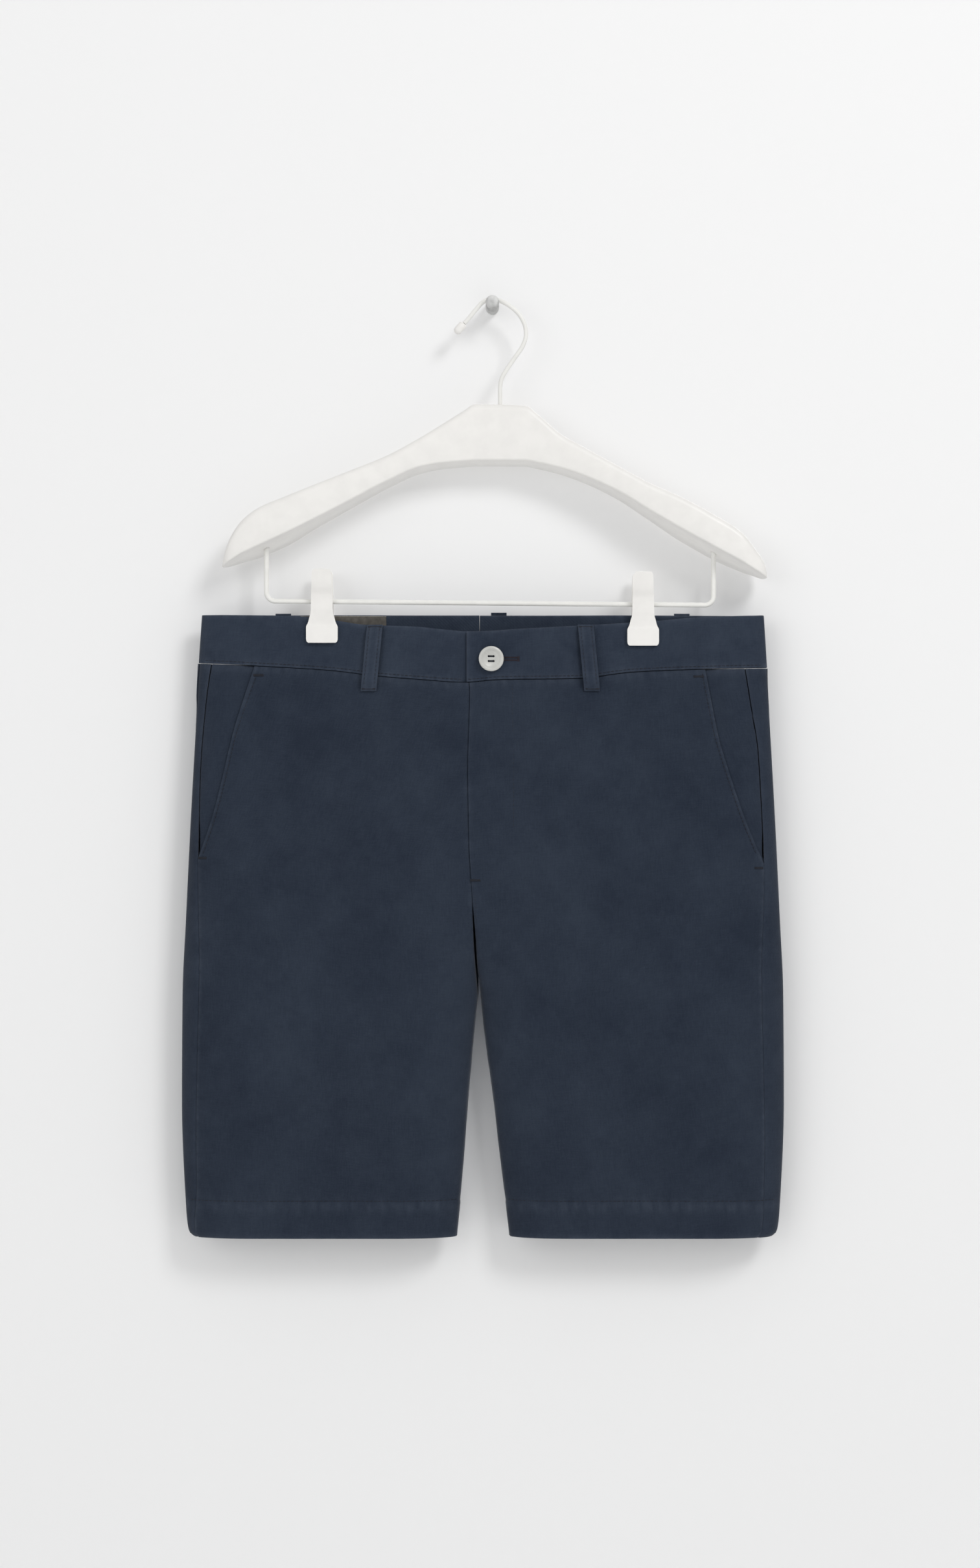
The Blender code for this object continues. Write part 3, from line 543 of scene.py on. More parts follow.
navyTwill = makeTwill("navyTwill")
bandTwill = makeTwill("bandTwill", 1.1)
labelWeave = makePlain("labelWeave", (0.095, 0.088, 0.078), 0.9, 0.25, 2500, 0.00008)
# painted highlight: a cream colour that stands for the light caught by the label's folded top edge
labelTopHighlight = makePlain("labelTopHighlight", (0.62, 0.58, 0.48), 0.85, 0.15, 2500, 0.00005)
whitePlastic = makePlain("whitePlastic", (0.90, 0.885, 0.855), 0.42, 0.03, 700, 0.00003, 0.1)
wirePaint = makePlain("wirePaint", (0.88, 0.875, 0.84), 0.36, 0.04, 900, 0.00003, 0.15)
pearl = makePlain("pearl", (0.60, 0.60, 0.57), 0.30, 0.16, 420, 0.00003, 0.3)
navyThread = makePlain("navyThread", (0.0105, 0.0125, 0.021), 0.8, 0.3, 3000, 0.0001)
holeThread = makePlain("holeThread", (0.016, 0.010, 0.018), 0.8, 0.3, 3000, 0.0001)
pegStone = makePlain("pegStone", (0.66, 0.66, 0.65), 0.55, 0.35, 900, 0.0004)
print("materials ready")


def finishHard(piece, material, angle, slotName, *nodes):
    piece.data.materials.append(material)
    smoothByAngle(piece, angle)
    finishPiece(piece, slotName, *nodes)


def finishPiece(piece, slotName, *nodes):
    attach(piece, "root")
    if nodes:
        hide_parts(*nodes)
    return piece



panelColumns = {"roll": 22, "flat": 62, "rows": 190}


def rowDrops(first, last, count):
    return np.linspace(first, last, count)[:, None]


def inwardSpacing(count):
    return 1 - np.cos(0.5 * math.pi * np.linspace(0, 1, count))


def frontGrid(side):
    drop = rowDrops(45, shorts["hemBottom"], panelColumns["rows"])
    inner = innerX(side, drop, True)
    edge = mouthX(side, drop)
    roll = shorts["innerRoll"] * inwardSpacing(panelColumns["roll"])[None, :]
    rolled = inner + side * roll
    share = np.linspace(0, 1, panelColumns["flat"])[None, 1:]
    start = inner + side * shorts["innerRoll"]
    x = np.concatenate([rolled, start + (edge - start) * share], axis=1)
    drop = fitToWaist(x, drop + 0 * x, True)
    # the shared edge in the middle dips to the seam, and the fly's edge laps over
    fromEdge = np.abs(x - innerX(side, drop, True))
    lap = np.where(drop < 212, 1.0, 0.0) * (1 if side > 0 else 0)
    lift = detail(x, drop, True) + 0.75 * lap * ease((214 - drop) / 10) * ease((60 - fromEdge) / 40)
    lift = lift - 0.7 * bell(fromEdge / 1.3) * (1 - 0.4 * lap)
    fromMouth = np.abs(x - mouthX(side, drop))
    lift = lift - 0.35 * bell((fromMouth - 2.6) / 0.8) * ease((196 - drop) / 4)
    lift = lift + 0.18 * ripple(drop, 14, 3 + side) * bell(fromMouth / 6)
    grid = facePoints(side, x, drop, True)
    worn = wornNear(x, drop, True)
    worn = worn + 0.5 * bell(fromMouth / 1.6) * (0.7 + 0.5 * ripple(drop, 12, 2))
    worn = worn + 0.35 * bell(fromEdge / 2.2) * (0.6 + 0.5 * ripple(drop, 15, 7))
    return movedOut(turnedOut(grid, side), turnedOut(lift, side)), turnedOut(worn, side)


def backGrid(side):
    drop = rowDrops(45, shorts["hemBottom"], panelColumns["rows"])
    outer = outerX(side, drop)
    seam = seamX(side, drop) + side * 0.35
    roll = readTable(depths, drop, 3)
    inner = innerX(side, drop, False)
    # from the side seam on the front, round the fold, and over the back
    start = np.sqrt(1 - (1 - np.clip(np.abs(outer - seam) / roll, 0, 1)) ** 2)
    angle = np.arcsin(np.clip(start, 0, 1)) * np.linspace(1, 0, 12)[None, :-1]
    xFront = outer - side * roll * (1 - np.cos(angle))
    turn = 0.5 * math.pi * np.linspace(0, 1, 26)[None, :]
    xRolled = outer - side * roll * (1 - np.cos(turn))
    share = np.linspace(0, 1, 50)[None, 1:-1]
    flatEnd = inner + side * shorts["innerRoll"]
    xFlat = (outer - side * roll) + (flatEnd - outer + side * roll) * share
    xIn = inner + side * shorts["innerRoll"] * inwardSpacing(panelColumns["roll"])[None, ::-1]
    xBack = np.concatenate([xRolled, xFlat, xIn], axis=1)
    dropFront = fitToWaist(xFront, drop + 0 * xFront, True)
    dropBack = fitToWaist(xBack, drop + 0 * xBack, False)
    front = facePoints(side, xFront, dropFront, True)
    back = facePoints(side, xBack, dropBack, False)
    grid = np.concatenate([front, back], axis=1)
    liftFront = detail(xFront, dropFront, True) - 0.55 * bell((xFront - seam) / 1.2)
    liftFront = liftFront + 0.15 * ripple(dropFront, 15, 8 + side) * bell((xFront - seam) / 5)
    fromCentre = np.abs(xBack - inner)
    liftBack = detail(xBack, dropBack, False) - 0.7 * bell(fromCentre / 1.3)
    # the waves of front and back meet smoothly at the fold
    fade = ease(np.abs(xBack - outer) / 14)
    liftBack = liftBack * fade
    liftFront = liftFront * ease(np.abs(xFront - outer) / 6)
    lift = np.concatenate([liftFront, liftBack], axis=1)
    wornFront = wornNear(xFront, dropFront, True) + 0.3 * bell((xFront - seam) / 2)
    wornBack = wornNear(xBack, dropBack, False) + 0.3 * bell(fromCentre / 2.2)
    worn = np.concatenate([wornFront, wornBack], axis=1)
    return movedOut(turnedOut(grid, side), turnedOut(lift, side)), turnedOut(worn, side)


sides = ((-1, "right"), (1, "left"))
panels = {}
for side, word in sides:
    grid, worn = frontGrid(side)
    front = makeSheet(f"frontPanel_{word}", grid, shorts["panelWall"], worn, navyTwill)
    finishPiece(front, "navy_cloth", f"front_panel_{word}")
    grid, worn = backGrid(side)
    back = makeSheet(f"backPanel_{word}", grid, shorts["panelWall"], worn, navyTwill)
    finishPiece(back, "navy_cloth", f"back_panel_{word}")
    panels[word] = (front, back)
print("panels made")



def hemGrid(side):
    drop = rowDrops(shorts["hemBottom"] - shorts["hemDepth"], shorts["hemBottom"] - 0.3, 12)
    inner, outer, roll = innerX(side, drop, True), outerX(side, drop), readTable(depths, drop, 3)
    innerWay = inner + side * shorts["innerRoll"] * inwardSpacing(20)[None, 1:]
    outerWay = outer - side * roll * inwardSpacing(20)[None, ::-1]
    share = np.linspace(0, 1, 30)[None, 1:-1]
    flat = innerWay[:, -1:] + (outerWay[:, :1] - innerWay[:, -1:]) * share
    x = np.concatenate([innerWay, flat, outerWay], axis=1)
    front, back = (facePoints(side, x, drop + 0 * x, inFront) for inFront in (True, False))
    return movedOut(turnedOut(np.concatenate([front, back[:, -2::-1]], axis=1), side), -1.55)


pocket = {"inside": 32.0, "facingSink": 1.9, "bagSink": 4.2,
          "bagTop": 50.0, "bagBottom": 246.0, "bagInner": 104.0}


def facingGrid(side):
    drop = rowDrops(45, 205, 60)
    mouth = np.abs(mouthX(side, drop))
    end = np.maximum(np.abs(seamX(side, drop)) - 0.4, mouth + 2.0)
    x = side * (mouth - pocket["inside"] + (end - mouth + pocket["inside"]) * np.linspace(0, 1, 34)[None, :])
    drop = fitToWaist(x, drop + 0 * x, True)
    grid = facePoints(side, x, drop, True)
    toSeam = ease((np.abs(x) - mouth - 3) / 9) * ease((np.abs(seamX(side, drop)) - mouth) / 14)
    lift = -pocket["facingSink"] + 1.5 * toSeam + 0.5 * detail(x, drop, True)
    worn = 0.5 * bell((drop - readTable(frontSeam, x)) / 5)
    return movedOut(turnedOut(grid, side), turnedOut(lift, side)), turnedOut(worn, side)


def bagGrid(side):
    share = np.linspace(0, 1, 40)[:, None]
    drop = pocket["bagTop"] + (pocket["bagBottom"] - pocket["bagTop"]) * share
    corner = 30 * (1 - np.sqrt(1 - np.clip(share * 5 - 4, 0, 1) ** 2))
    last = np.abs(mouthX(side, np.minimum(drop, 190))) - 6 - corner
    first = pocket["bagInner"] + corner
    x = side * (first + (last - first) * np.linspace(0, 1, 30)[None, :])
    drop = fitToWaist(x, drop + 0 * x, True)
    grid = facePoints(side, x, drop, True)
    return movedOut(turnedOut(grid, side), -pocket["bagSink"])


for side, word in sides:
    hem = makeSheet(f"hemTurnUp_{word}", hemGrid(side), 1.0, None, navyTwill)
    finishPiece(hem, "navy_cloth", f"hem_turn_up_{word}")
    grid, worn = facingGrid(side)
    facing = makeSheet(f"pocketFacing_{word}", grid, 1.0, worn, navyTwill)
    finishPiece(facing, "navy_cloth", f"pocket_facing_{word}")
    bag = makeSheet(f"pocketBag_{word}", bagGrid(side), 0.8, None, navyTwill)
    finishPiece(bag, "navy_cloth", f"pocket_bag_{word}")

drop = rowDrops(46, 204, 50)
edge = readTable(frontEdge, drop)
reach = 34 - 16 * ease((drop - 150) / 60)
x = edge - 9 + (reach + 9) * np.linspace(0, 1, 16)[None, :]
drop = fitToWaist(x, drop + 0 * x, True)
shieldGrid = np.stack([x, -standOff(1, np.maximum(x, edge + 1), drop, True), -drop], axis=-1)
flyShield = makeSheet("flyShield", movedOut(shieldGrid, -1.7), 1.0, None, navyTwill)
finishPiece(flyShield, "navy_cloth", "fly_shield")
print("hems, pockets and fly shield made")



band = {"lapUnder": 40.0, "lapSink": 2.7, "rows": 22}


def bandGrid(side):
    share = np.linspace(0, 1, band["rows"])[:, None]
    level = 40 * share
    outer, roll = outerX(side, level), readTable(depths, level, 3)
    edge = float(readTable(frontEdge, 20.0))
    middle = shorts["backEdge"] + side * 0.15
    start = edge + 0.15 if side > 0 else edge + band["lapUnder"]
    flatEnd = outer - side * roll
    count = int(abs(side * 195 - start) / 2.2)
    xFlat = start + (flatEnd - start) * np.linspace(0, 1, count)[None, :-1]
    turn = 0.5 * math.pi * np.linspace(1, 0, 22)[None, :]
    xRoll = outer - side * roll * (1 - np.cos(turn))
    xBack = flatEnd + (middle - flatEnd) * np.linspace(0, 1, 90)[None, 1:]
    xFront = np.concatenate([xFlat, xRoll], axis=1)
    xBack = np.concatenate([xRoll[:, ::-1][:, 1:], xBack], axis=1)
    parts, lifts, worns = [], [], []
    for x, front in ((xFront, True), (xBack, False)):
        top = readTable(frontTop if front else backTop, x)
        seam = seamDrop(x, front) - 0.2
        drop = top + (seam - top) * share
        along = np.minimum(x, edge - 1) if front and side < 0 else x
        off = standOff(side, along + 0 * drop, drop, front)
        if front and side < 0:
            # the underlap follows the other front's surface
            off = np.where(x > edge - 1, standOff(1, np.maximum(x, edge + 1) + 0 * drop, drop, True), off)
        parts.append(np.stack([x + 0 * drop, (-off if front else off), -drop], axis=-1))
        lift = shorts["bandProud"] + 0.16 * ripple2(x, drop, 46, 3 if front else 8)
        lift = lift + 0.22 * ripple(x, 14, 4) * bell((drop - seam) / 7)
        lift = lift + 0.14 * ripple(x, 19, 6) * bell((drop - top) / 6)
        lift = lift - 0.28 * bell((seam - drop - 2.2) / 0.8)
        lift = lift - 0.55 * bell((drop - top) / 0.9) - 0.5 * bell((seam - drop) / 0.9)
        if front and side < 0:
            lift = lift - band["lapSink"] * ease((x - edge + 9) / 8)
        if front and side > 0:
            lift = lift - 0.5 * bell((x - start) / 1.0)
        lifts.append(shorts["bandProud"] + (lift - shorts["bandProud"]) * ease(np.abs(x - outer) / 8))
        worn = 0.55 * bell((drop - top) / 1.8) * (0.7 + 0.4 * ripple(x, 13, 5))
        worn = worn + 0.6 * bell((seam - drop) / 3.2) * (0.6 + 0.6 * ripple(x, 8, 9))
        worn = worn + 0.12
        if front and side > 0:
            worn = worn + 0.5 * bell((x - start) / 1.8)
        worns.append(worn)
    grid = np.concatenate(parts, axis=1)
    lift = np.concatenate(lifts, axis=1)
    worn = np.concatenate(worns, axis=1)
    return movedOut(turnedOut(grid, side), turnedOut(lift, side)), turnedOut(worn, side)


bandPieces = {}
for side, word in sides:
    grid, worn = bandGrid(side)
    bandPieces[word] = makeSheet(f"waistband_{word}Half", grid, shorts["bandWall"], worn, bandTwill, 0.6)
    finishPiece(bandPieces[word], "navy_cloth", f"waistband_{word}")
print("waistband made")



def onFace(x, drop, front, out=0.0):
    # a point of the shorts' face in the datum's millimetres, moved straight off the hanging plane
    side = 1 if x > (float(readTable(frontEdge, drop)) if front else shorts["backEdge"]) else -1
    off = float(standOff(side, np.array(float(x)), np.array(float(max(drop, 0.0))), front)) + out
    return np.array([x, -off if front else off, -drop])


loops = {
    "beltLoop_frontRight": ("belt_loop_front_right", -84.9, -90.0, True, 7.6, 60.2),
    "beltLoop_frontLeft": ("belt_loop_front_left", 81.3, 86.4, True, 7.6, 60.2),
    "beltLoop_centreBack": ("belt_loop_centre_back", 12.9, 12.9, False, -3.0, 50.0),
    "beltLoop_backRight": ("belt_loop_back_right", -158.0, -160.0, False, -1.8, 50.0),
    "beltLoop_backLeft": ("belt_loop_back_left", 158.0, 160.0, False, -1.8, 50.0),
}
loopSize = {"width": 12.6, "wall": 1.3, "stand": 2.6, "seat": 0.95}


def loopHeight(share):
    stand = ease(share / 0.16) * ease((1 - share) / 0.16)
    return loopSize["seat"] + loopSize["stand"] * stand + loopSize["wall"]


def loopGrid(xTop, xBottom, front, top, bottom):
    share = np.linspace(0, 1, 44)[:, None]
    across = np.linspace(-1, 1, 15)[None, :]
    x = xTop + (xBottom - xTop) * share + 0.5 * loopSize["width"] * across
    drop = top + (bottom - top) * share + 0 * x
    out = loopHeight(share)
    out = out - 0.25 * bell((np.abs(across) - 0.66) / 0.09) - 0.35 * np.abs(across) ** 8
    out = out - 0.3 * (bell(share / 0.02) + bell((1 - share) / 0.02))
    side = 1 if xTop > 0 else -1
    off = standOff(side, x, np.maximum(drop, 0), front) + out
    grid = np.stack([x, -off if front else off, -drop], axis=-1)
    worn = 0.45 * np.abs(across) ** 5 + 0.25 * bell((np.abs(across) - 0.45) / 0.2) + 0.2 + 0 * share
    return (grid, worn) if front else (grid[:, ::-1], worn)


for name, (node, xTop, xBottom, front, top, bottom) in loops.items():
    grid, worn = loopGrid(xTop, xBottom, front, top, bottom)
    loop = makeSheet(name, grid, loopSize["wall"], worn, bandTwill, 0.3)
    finishPiece(loop, "navy_cloth", node)

label = {"left": -149.3, "right": -76.4, "top": 0.5, "bottom": 32.0, "sink": 2.0}
x = np.linspace(label["right"], label["left"], 40)[None, :]
drop = np.linspace(label["top"], label["bottom"], 18)[:, None] + 0 * x
off = standOff(-1, x + 0 * drop, drop, False) - label["sink"] + shorts["bandProud"]
labelGrid = np.stack([x + 0 * drop, off, -drop], axis=-1)
labelPiece = makeSheet("plainLabel", labelGrid, 0.6, None, labelWeave, 0.15)
labelPiece.data.materials.append(labelTopHighlight)
topZ = (datum[2] - label["top"] - 0.75) * mm
for face in labelPiece.data.polygons:
    if face.center.z > topZ:
        face.material_index = 1  # painted highlight: a cream strip for the light on the label's folded top edge
finishPiece(labelPiece, "label_cloth", "label")

for side, word in sides:
    front, back = panels[word]
print("belt loops and label made")



stitch = {"length": 2.5, "space": 0.75, "radius": 0.24}


def stitchRow(route):
    # (start, end, out) of each stitch along a route of points
    length = stitch["length"]
    route = np.array(route, float)
    run = np.concatenate([[0], np.linalg.norm(np.diff(route, axis=0), axis=1).cumsum()])
    starts = np.arange(0.3, run[-1] - length, length + stitch["space"])
    found = []
    for begin in starts:
        ends = [[np.interp(at, run, route[:, axis]) for axis in range(3)] for at in (begin, begin + length)]
        found.append((np.array(ends[0]), np.array(ends[1]), stitch["radius"]))
    return found


def makeStitches(name, stitches, material, slotName="navy_thread"):
    # every stitch is a short six-sided bead with drawn-in ends, and all are one mesh
    points, faces = [], []
    shape = ((0.0, 0.25), (0.18, 0.9), (0.5, 1.0), (0.82, 0.9), (1.0, 0.25))
    corners = 6
    for start, end, radius in stitches:
        way = (end - start) / max(np.linalg.norm(end - start), 1e-6)
        sideWay = np.cross(way, (0, 1, 0)) if abs(way[1]) < 0.9 else np.cross(way, (1, 0, 0))
        sideWay = sideWay / np.linalg.norm(sideWay)
        upWay = np.cross(way, sideWay)
        first = len(points)
        for share, width in shape:
            middle = start + (end - start) * share
            for i in range(corners):
                turn = 2 * math.pi * i / corners
                spot = middle + radius * width * (math.cos(turn) * sideWay + math.sin(turn) * upWay)
                points.append(tuple((spot + datum) * mm))
        for ring in range(len(shape) - 1):
            for i in range(corners):
                a = first + ring * corners + i
                b = first + ring * corners + (i + 1) % corners
                faces.append((a, b, b + corners, a + corners))
        faces.append(tuple(first + i for i in range(corners))[::-1])
        faces.append(tuple(first + (len(shape) - 1) * corners + i for i in range(corners)))
    mesh = bpy.data.meshes.new(name)
    mesh.from_pydata(points, [], faces)
    piece = bpy.data.objects.new(name, mesh)
    bpy.context.scene.collection.objects.link(piece)
    mesh.materials.append(material)
    faceOutwards(mesh)
    mesh.shade_smooth()
    return finishPiece(piece, slotName)


def faceRoute(xs, drops, front, out):
    return [onFace(x, drop, front, out) for x, drop in zip(xs, drops)]


def columnOf(side, drops, inset, line):
    return [float(line(side, np.array(float(drop)))) - side * inset for drop in drops]


seams = []
for xs in (np.linspace(-219, -14.5, 120), np.linspace(-11.5, 221, 140)):
    lower = [float(readTable(frontSeam, x)) - 2.3 for x in xs]
    seams += stitchRow(faceRoute(xs, lower, True, shorts["bandProud"] - 0.05))
xs = np.linspace(-219, 221, 240)
for table, below in ((backSeam, -2.3), (backTop, 3.2)):
    drops = [float(readTable(table, x)) + below for x in xs]
    seams += stitchRow(faceRoute(xs, drops, False, shorts["bandProud"] - 0.05))
for side, word in sides:
    drops = np.linspace(46, 190, 60)
    xs = columnOf(side, drops, 2.6, mouthX)
    seams += stitchRow(faceRoute(xs, drops, True, -0.05))
hemLine = shorts["hemBottom"] - shorts["hemDepth"]
for side, word in sides:
    low = float(innerX(side, np.array(hemLine), True)) + side * 3
    high = float(outerX(side, np.array(hemLine))) - side * 3
    xs = np.linspace(low, high, 110)
    for front in (True, False):
        seams += stitchRow(faceRoute(xs, [hemLine] * len(xs), front, -0.02))
makeStitches("seamStitches", seams, navyThread)

fly = []
drops = np.linspace(54, 178, 50)
fly += stitchRow(faceRoute([24.0 - 0.6 * math.sin(drop / 30) for drop in drops], drops, True, 0.35))
turns = np.linspace(0, 0.5 * math.pi, 24)
xs = [24.0 - 31 * math.sin(turn) for turn in turns]
drops = [178 + 31 * (1 - math.cos(turn)) for turn in turns]
fly += stitchRow(faceRoute(xs, drops, True, 0.35))
drops = np.linspace(216, 296, 40)
fly += stitchRow(faceRoute([float(readTable(frontEdge, d)) + 2.4 for d in drops], drops, True, -0.3))
makeStitches("flyStitches", fly, navyThread)

loopStitches = []
for name, (node, xTop, xBottom, front, top, bottom) in loops.items():
    for offset in (-4.1, 4.1):
        shares = np.linspace(0.05, 0.95, 30)
        route = []
        for share in shares:
            x = xTop + (xBottom - xTop) * share + offset
            drop = top + (bottom - top) * share
            route.append(onFace(x, drop, front, float(loopHeight(share)) - 0.2))
        loopStitches += stitchRow(route)
makeStitches("loopStitches", loopStitches, navyThread)


def bartack(x, drop, width, height, front, out, along="x"):
    # a close zigzag of thread over a short bar
    steps = int((width if along == "x" else height) / 0.42)
    found = []
    for i in range(steps):
        share = (i + 0.5) / steps - 0.5
        if along == "x":
            ends = [(x + share * width, drop - 0.5 * height), (x + share * width + 0.2, drop + 0.5 * height)]
        else:
            ends = [(x - 0.5 * width, drop + share * height), (x + 0.5 * width, drop + share * height + 0.2)]
        start, end = (onFace(px, pd, front, out) for px, pd in ends)
        found.append((start, end, 0.26))
    return found


tacks = []
tacks += bartack(-177, 47.5, 8, 1.9, True, 0.1)
tacks += bartack(-220.6, 191.7, 7, 1.9, True, 0.1)
tacks += bartack(170.6, 48.5, 8, 1.9, True, 0.1)
tacks += bartack(217.2, 199.5, 7, 1.9, True, 0.1)
tacks += bartack(11, 187, 1.8, 15, True, 0.4, "z")
tacks += bartack(-5.7, 209, 8, 1.9, True, 0.5)
for name, (node, xTop, xBottom, front, top, bottom) in loops.items():
    out = loopSize["seat"] + loopSize["wall"] + 0.05
    tacks += bartack(xTop, top + 2.2, 11, 1.9, front, out + 0.1)
    tacks += bartack(xBottom, bottom - 2.2, 11, 1.9, front, out + 0.1)
makeStitches("bartacks", tacks, navyThread)
print("stitches made")



button = {"x": 6.7, "drop": 34.9, "foot": 9.4, "footDepth": 1.6, "stand": 1.4,
          "turn": math.radians(6), "holes": 1.9, "holeRadius": 0.85}
buttonFace = float(onFace(button["x"], button["drop"], True, 0.4)[1])
backY = buttonFace - button["stand"]

buttonPiece = addCylinder(72, button["foot"], button["footDepth"])
buttonPiece.name = "fourHoleButton"
editMode()
bpy.ops.mesh.select_mode(type="FACE")
bpy.ops.mesh.select_all(action="DESELECT")


def selectFaces(piece, test):
    work = bmesh.from_edit_mesh(piece.data)
    for face in work.faces:
        face.select_set(bool(test(face)))
    work.select_flush_mode()
    bmesh.update_edit_mesh(piece.data)


selectFaces(buttonPiece, lambda face: face.normal.z > 0.9)
for grow, up in ((1.055, 0.7), (0.985, 0.75), (0.93, 0.35)):
    bpy.ops.mesh.extrude_region_move(TRANSFORM_OT_translate={"value": (0, 0, up * mm)})
    bpy.ops.transform.resize(value=(grow, grow, 1))
for thick, down in ((0.9, 0.12), (0.9, -0.55), (0.9, -0.75), (0.5, -0.25)):
    bpy.ops.mesh.inset(thickness=thick * mm, depth=down * mm)
objectMode()
holes = []
for across in (-1, 1):
    for up in (-1, 1):
        place = (across * button["holes"] * mm, up * button["holes"] * mm, 0)
        holes.append(addCylinder(24, button["holeRadius"], 12, place))
cutOut(buttonPiece, holes)
applyModifiers(buttonPiece)
discard(holes)
addBevel(buttonPiece, 0.14, 2, 32)
applyModifiers(buttonPiece)
buttonPiece.rotation_euler = (0.5 * math.pi, 0, button["turn"])
buttonPiece.location = placeOf(button["x"], backY - 0.8, -button["drop"])
applyPlace(buttonPiece)
finishHard(buttonPiece, pearl, 35, "pearl_button", "button")

spot = np.array([button["x"], backY, -button["drop"]])
buttonThread = []
for up in (-1, 1):
    for lane in (-0.45, -0.15, 0.15, 0.45):
        left = spot + np.array([-button["holes"] - 0.2, -2.25, up * button["holes"] + lane])
        right = spot + np.array([button["holes"] + 0.2, -2.25, up * button["holes"] + lane])
        buttonThread.append((left, right, 0.2))
for across in (-1, 1):
    for up in (-1, 1):
        inside = spot + np.array([across * button["holes"], 0, up * button["holes"]])
        buttonThread.append((inside + (0, -2.3, 0), inside + (0, 0.3, 0), 0.42))
for i in range(7):
    turn = 2 * math.pi * i / 7
    around = np.array([0.75 * math.cos(turn), 0, 0.75 * math.sin(turn)])
    buttonThread.append((spot + around + (0, -0.2, 0), spot + around + (0, button["stand"] + 1.6, 0), 0.4))
thread = makeStitches("buttonThread", buttonThread, navyThread)
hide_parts("button_thread")

# the keyhole buttonhole is edged with close thread
keyhole = []
for lane in (-1, 1):
    for x in np.arange(16.5, 27.6, 0.42):
        start = onFace(x, button["drop"] + lane * 0.35, True, shorts["bandProud"] + 0.1)
        end = onFace(x, button["drop"] + lane * 1.75, True, shorts["bandProud"] + 0.1)
        keyhole.append((start, end, 0.27))
for i in range(9):
    drop = button["drop"] - 1.8 + 3.6 * i / 8
    keyhole.append((onFace(27.4, drop, True, 0.65), onFace(29.2, drop, True, 0.65), 0.3))
makeStitches("buttonholeStitches", keyhole, holeThread)
print("button made")



# X, top, underside at the front, depth, how much lower the back is
arms = ((-205.4, 40.1, 38.4, 12, 0), (-203.6, 48.3, 39.4, 22, 0.6), (-198.5, 61.0, 42.2, 31, 2),
        (-189.5, 73.8, 47.5, 36, 4), (-176.7, 83.6, 53.4, 39, 6.2), (-156, 92.5, 62.9, 40, 6.4),
        (-130.5, 102.9, 75.6, 38, 4), (-105, 113.2, 89.0, 34, 3.2), (-74, 126.2, 105.5, 29, 3),
        (-48.5, 140.4, 116.5, 24, 3), (-30, 152.0, 119.8, 20, 3), (-13.8, 162.3, 121.2, 18, 3),
        (-6.2, 167.0, 121.8, 17, 3), (33.6, 166.0, 121.6, 17, 3), (43.8, 158.8, 119.7, 18, 3),
        (61.8, 143.1, 115.5, 21, 3), (79.7, 132.7, 109.3, 25, 3), (105.4, 118.3, 97.5, 30, 3.2),
        (131, 104.1, 81.9, 35, 4), (156.7, 92.4, 66.8, 38, 6), (182.3, 78.4, 52.7, 40, 6.4),
        (202.8, 65.4, 41.6, 40, 4.4), (215.6, 50.6, 34.2, 33, 2), (223.3, 38.3, 30.1, 22, 0.6),
        (224.6, 32.4, 29.6, 12, 0))
hanger = {"round": 6.0, "sections": 220, "corner": 7}


def armSection(x):
    high, low, depth, fall = (float(readTable(arms, x, column)) for column in (1, 2, 3, 4))
    half = depth / 2
    curve = min(hanger["round"], 0.46 * (high - low), 0.46 * depth)
    foot = min(0.34 * curve, 2.0)
    points = []
    for face, base in ((1, low - fall), (-1, low)):
        edge = []
        for i in range(4):
            turn = 0.5 * math.pi * i / 3
            edge.append((face * (half - foot + foot * math.sin(turn)), base + foot * (1 - math.cos(turn))))
        edge.append((face * half, 0.5 * (base + foot + high - curve)))
        for i in range(hanger["corner"]):
            turn = 0.5 * math.pi * i / (hanger["corner"] - 1)
            out = half - curve + curve * math.cos(turn)
            edge.append((face * out, high - curve + curve * math.sin(turn)))
        points += edge if face > 0 else edge[::-1]
    middleTop = (0.0, high + 0.15)
    middleLow = (0.0, low - 0.5 * fall)
    count = len(points) // 2
    points.insert(count, middleTop)
    points.append(middleLow)
    return [(x, y, z) for y, z in points]


ends = (arms[0][0], arms[-1][0])
spread = np.sin(np.linspace(-0.5 * math.pi, 0.5 * math.pi, hanger["sections"]))
spread = 0.35 * spread + 0.65 * np.linspace(-1, 1, hanger["sections"])
sectionsX = 0.5 * (ends[0] + ends[1]) + 0.5 * (ends[1] - ends[0]) * spread
armGrid = np.array([armSection(x) for x in sectionsX])
hangerBody = gridMesh("hangerBody", armGrid, None, closed=True)
faceOutwards(hangerBody.data, True)


def drill(piece, radius, x, low, high):
    tool = addCylinder(32, radius, high - low, placeOf(x, 0, 0.5 * (low + high)))
    cutOut(piece, [tool])
    applyModifiers(piece)
    discard([tool])


drill(hangerBody, 2.0, 14, 150, 180)
drill(hangerBody, 2.2, -171, 30, 64.3)
drill(hangerBody, 2.2, 182.8, 30, 61.3)
finishHard(hangerBody, whitePlastic, 38, "white_plastic", "hanger_body")

hookRoute = ((14, 153), (14, 160), (14, 168), (14, 180), (15, 187), (18.4, 193.6),
             (25.5, 204), (31.3, 212.4), (34.2, 220), (34.2, 226.4), (32.4, 232.6),
             (28.4, 239), (22.4, 244.4), (15.2, 248.6), (7.8, 250.8), (0.6, 248.2),
             (-5, 242.4), (-10.4, 235.8), (-14.4, 231.3))
wire = {"hookRadius": 1.7, "barRadius": 1.9, "bend": 7.0, "tipRadius": 3.35, "tipLength": 11.0}


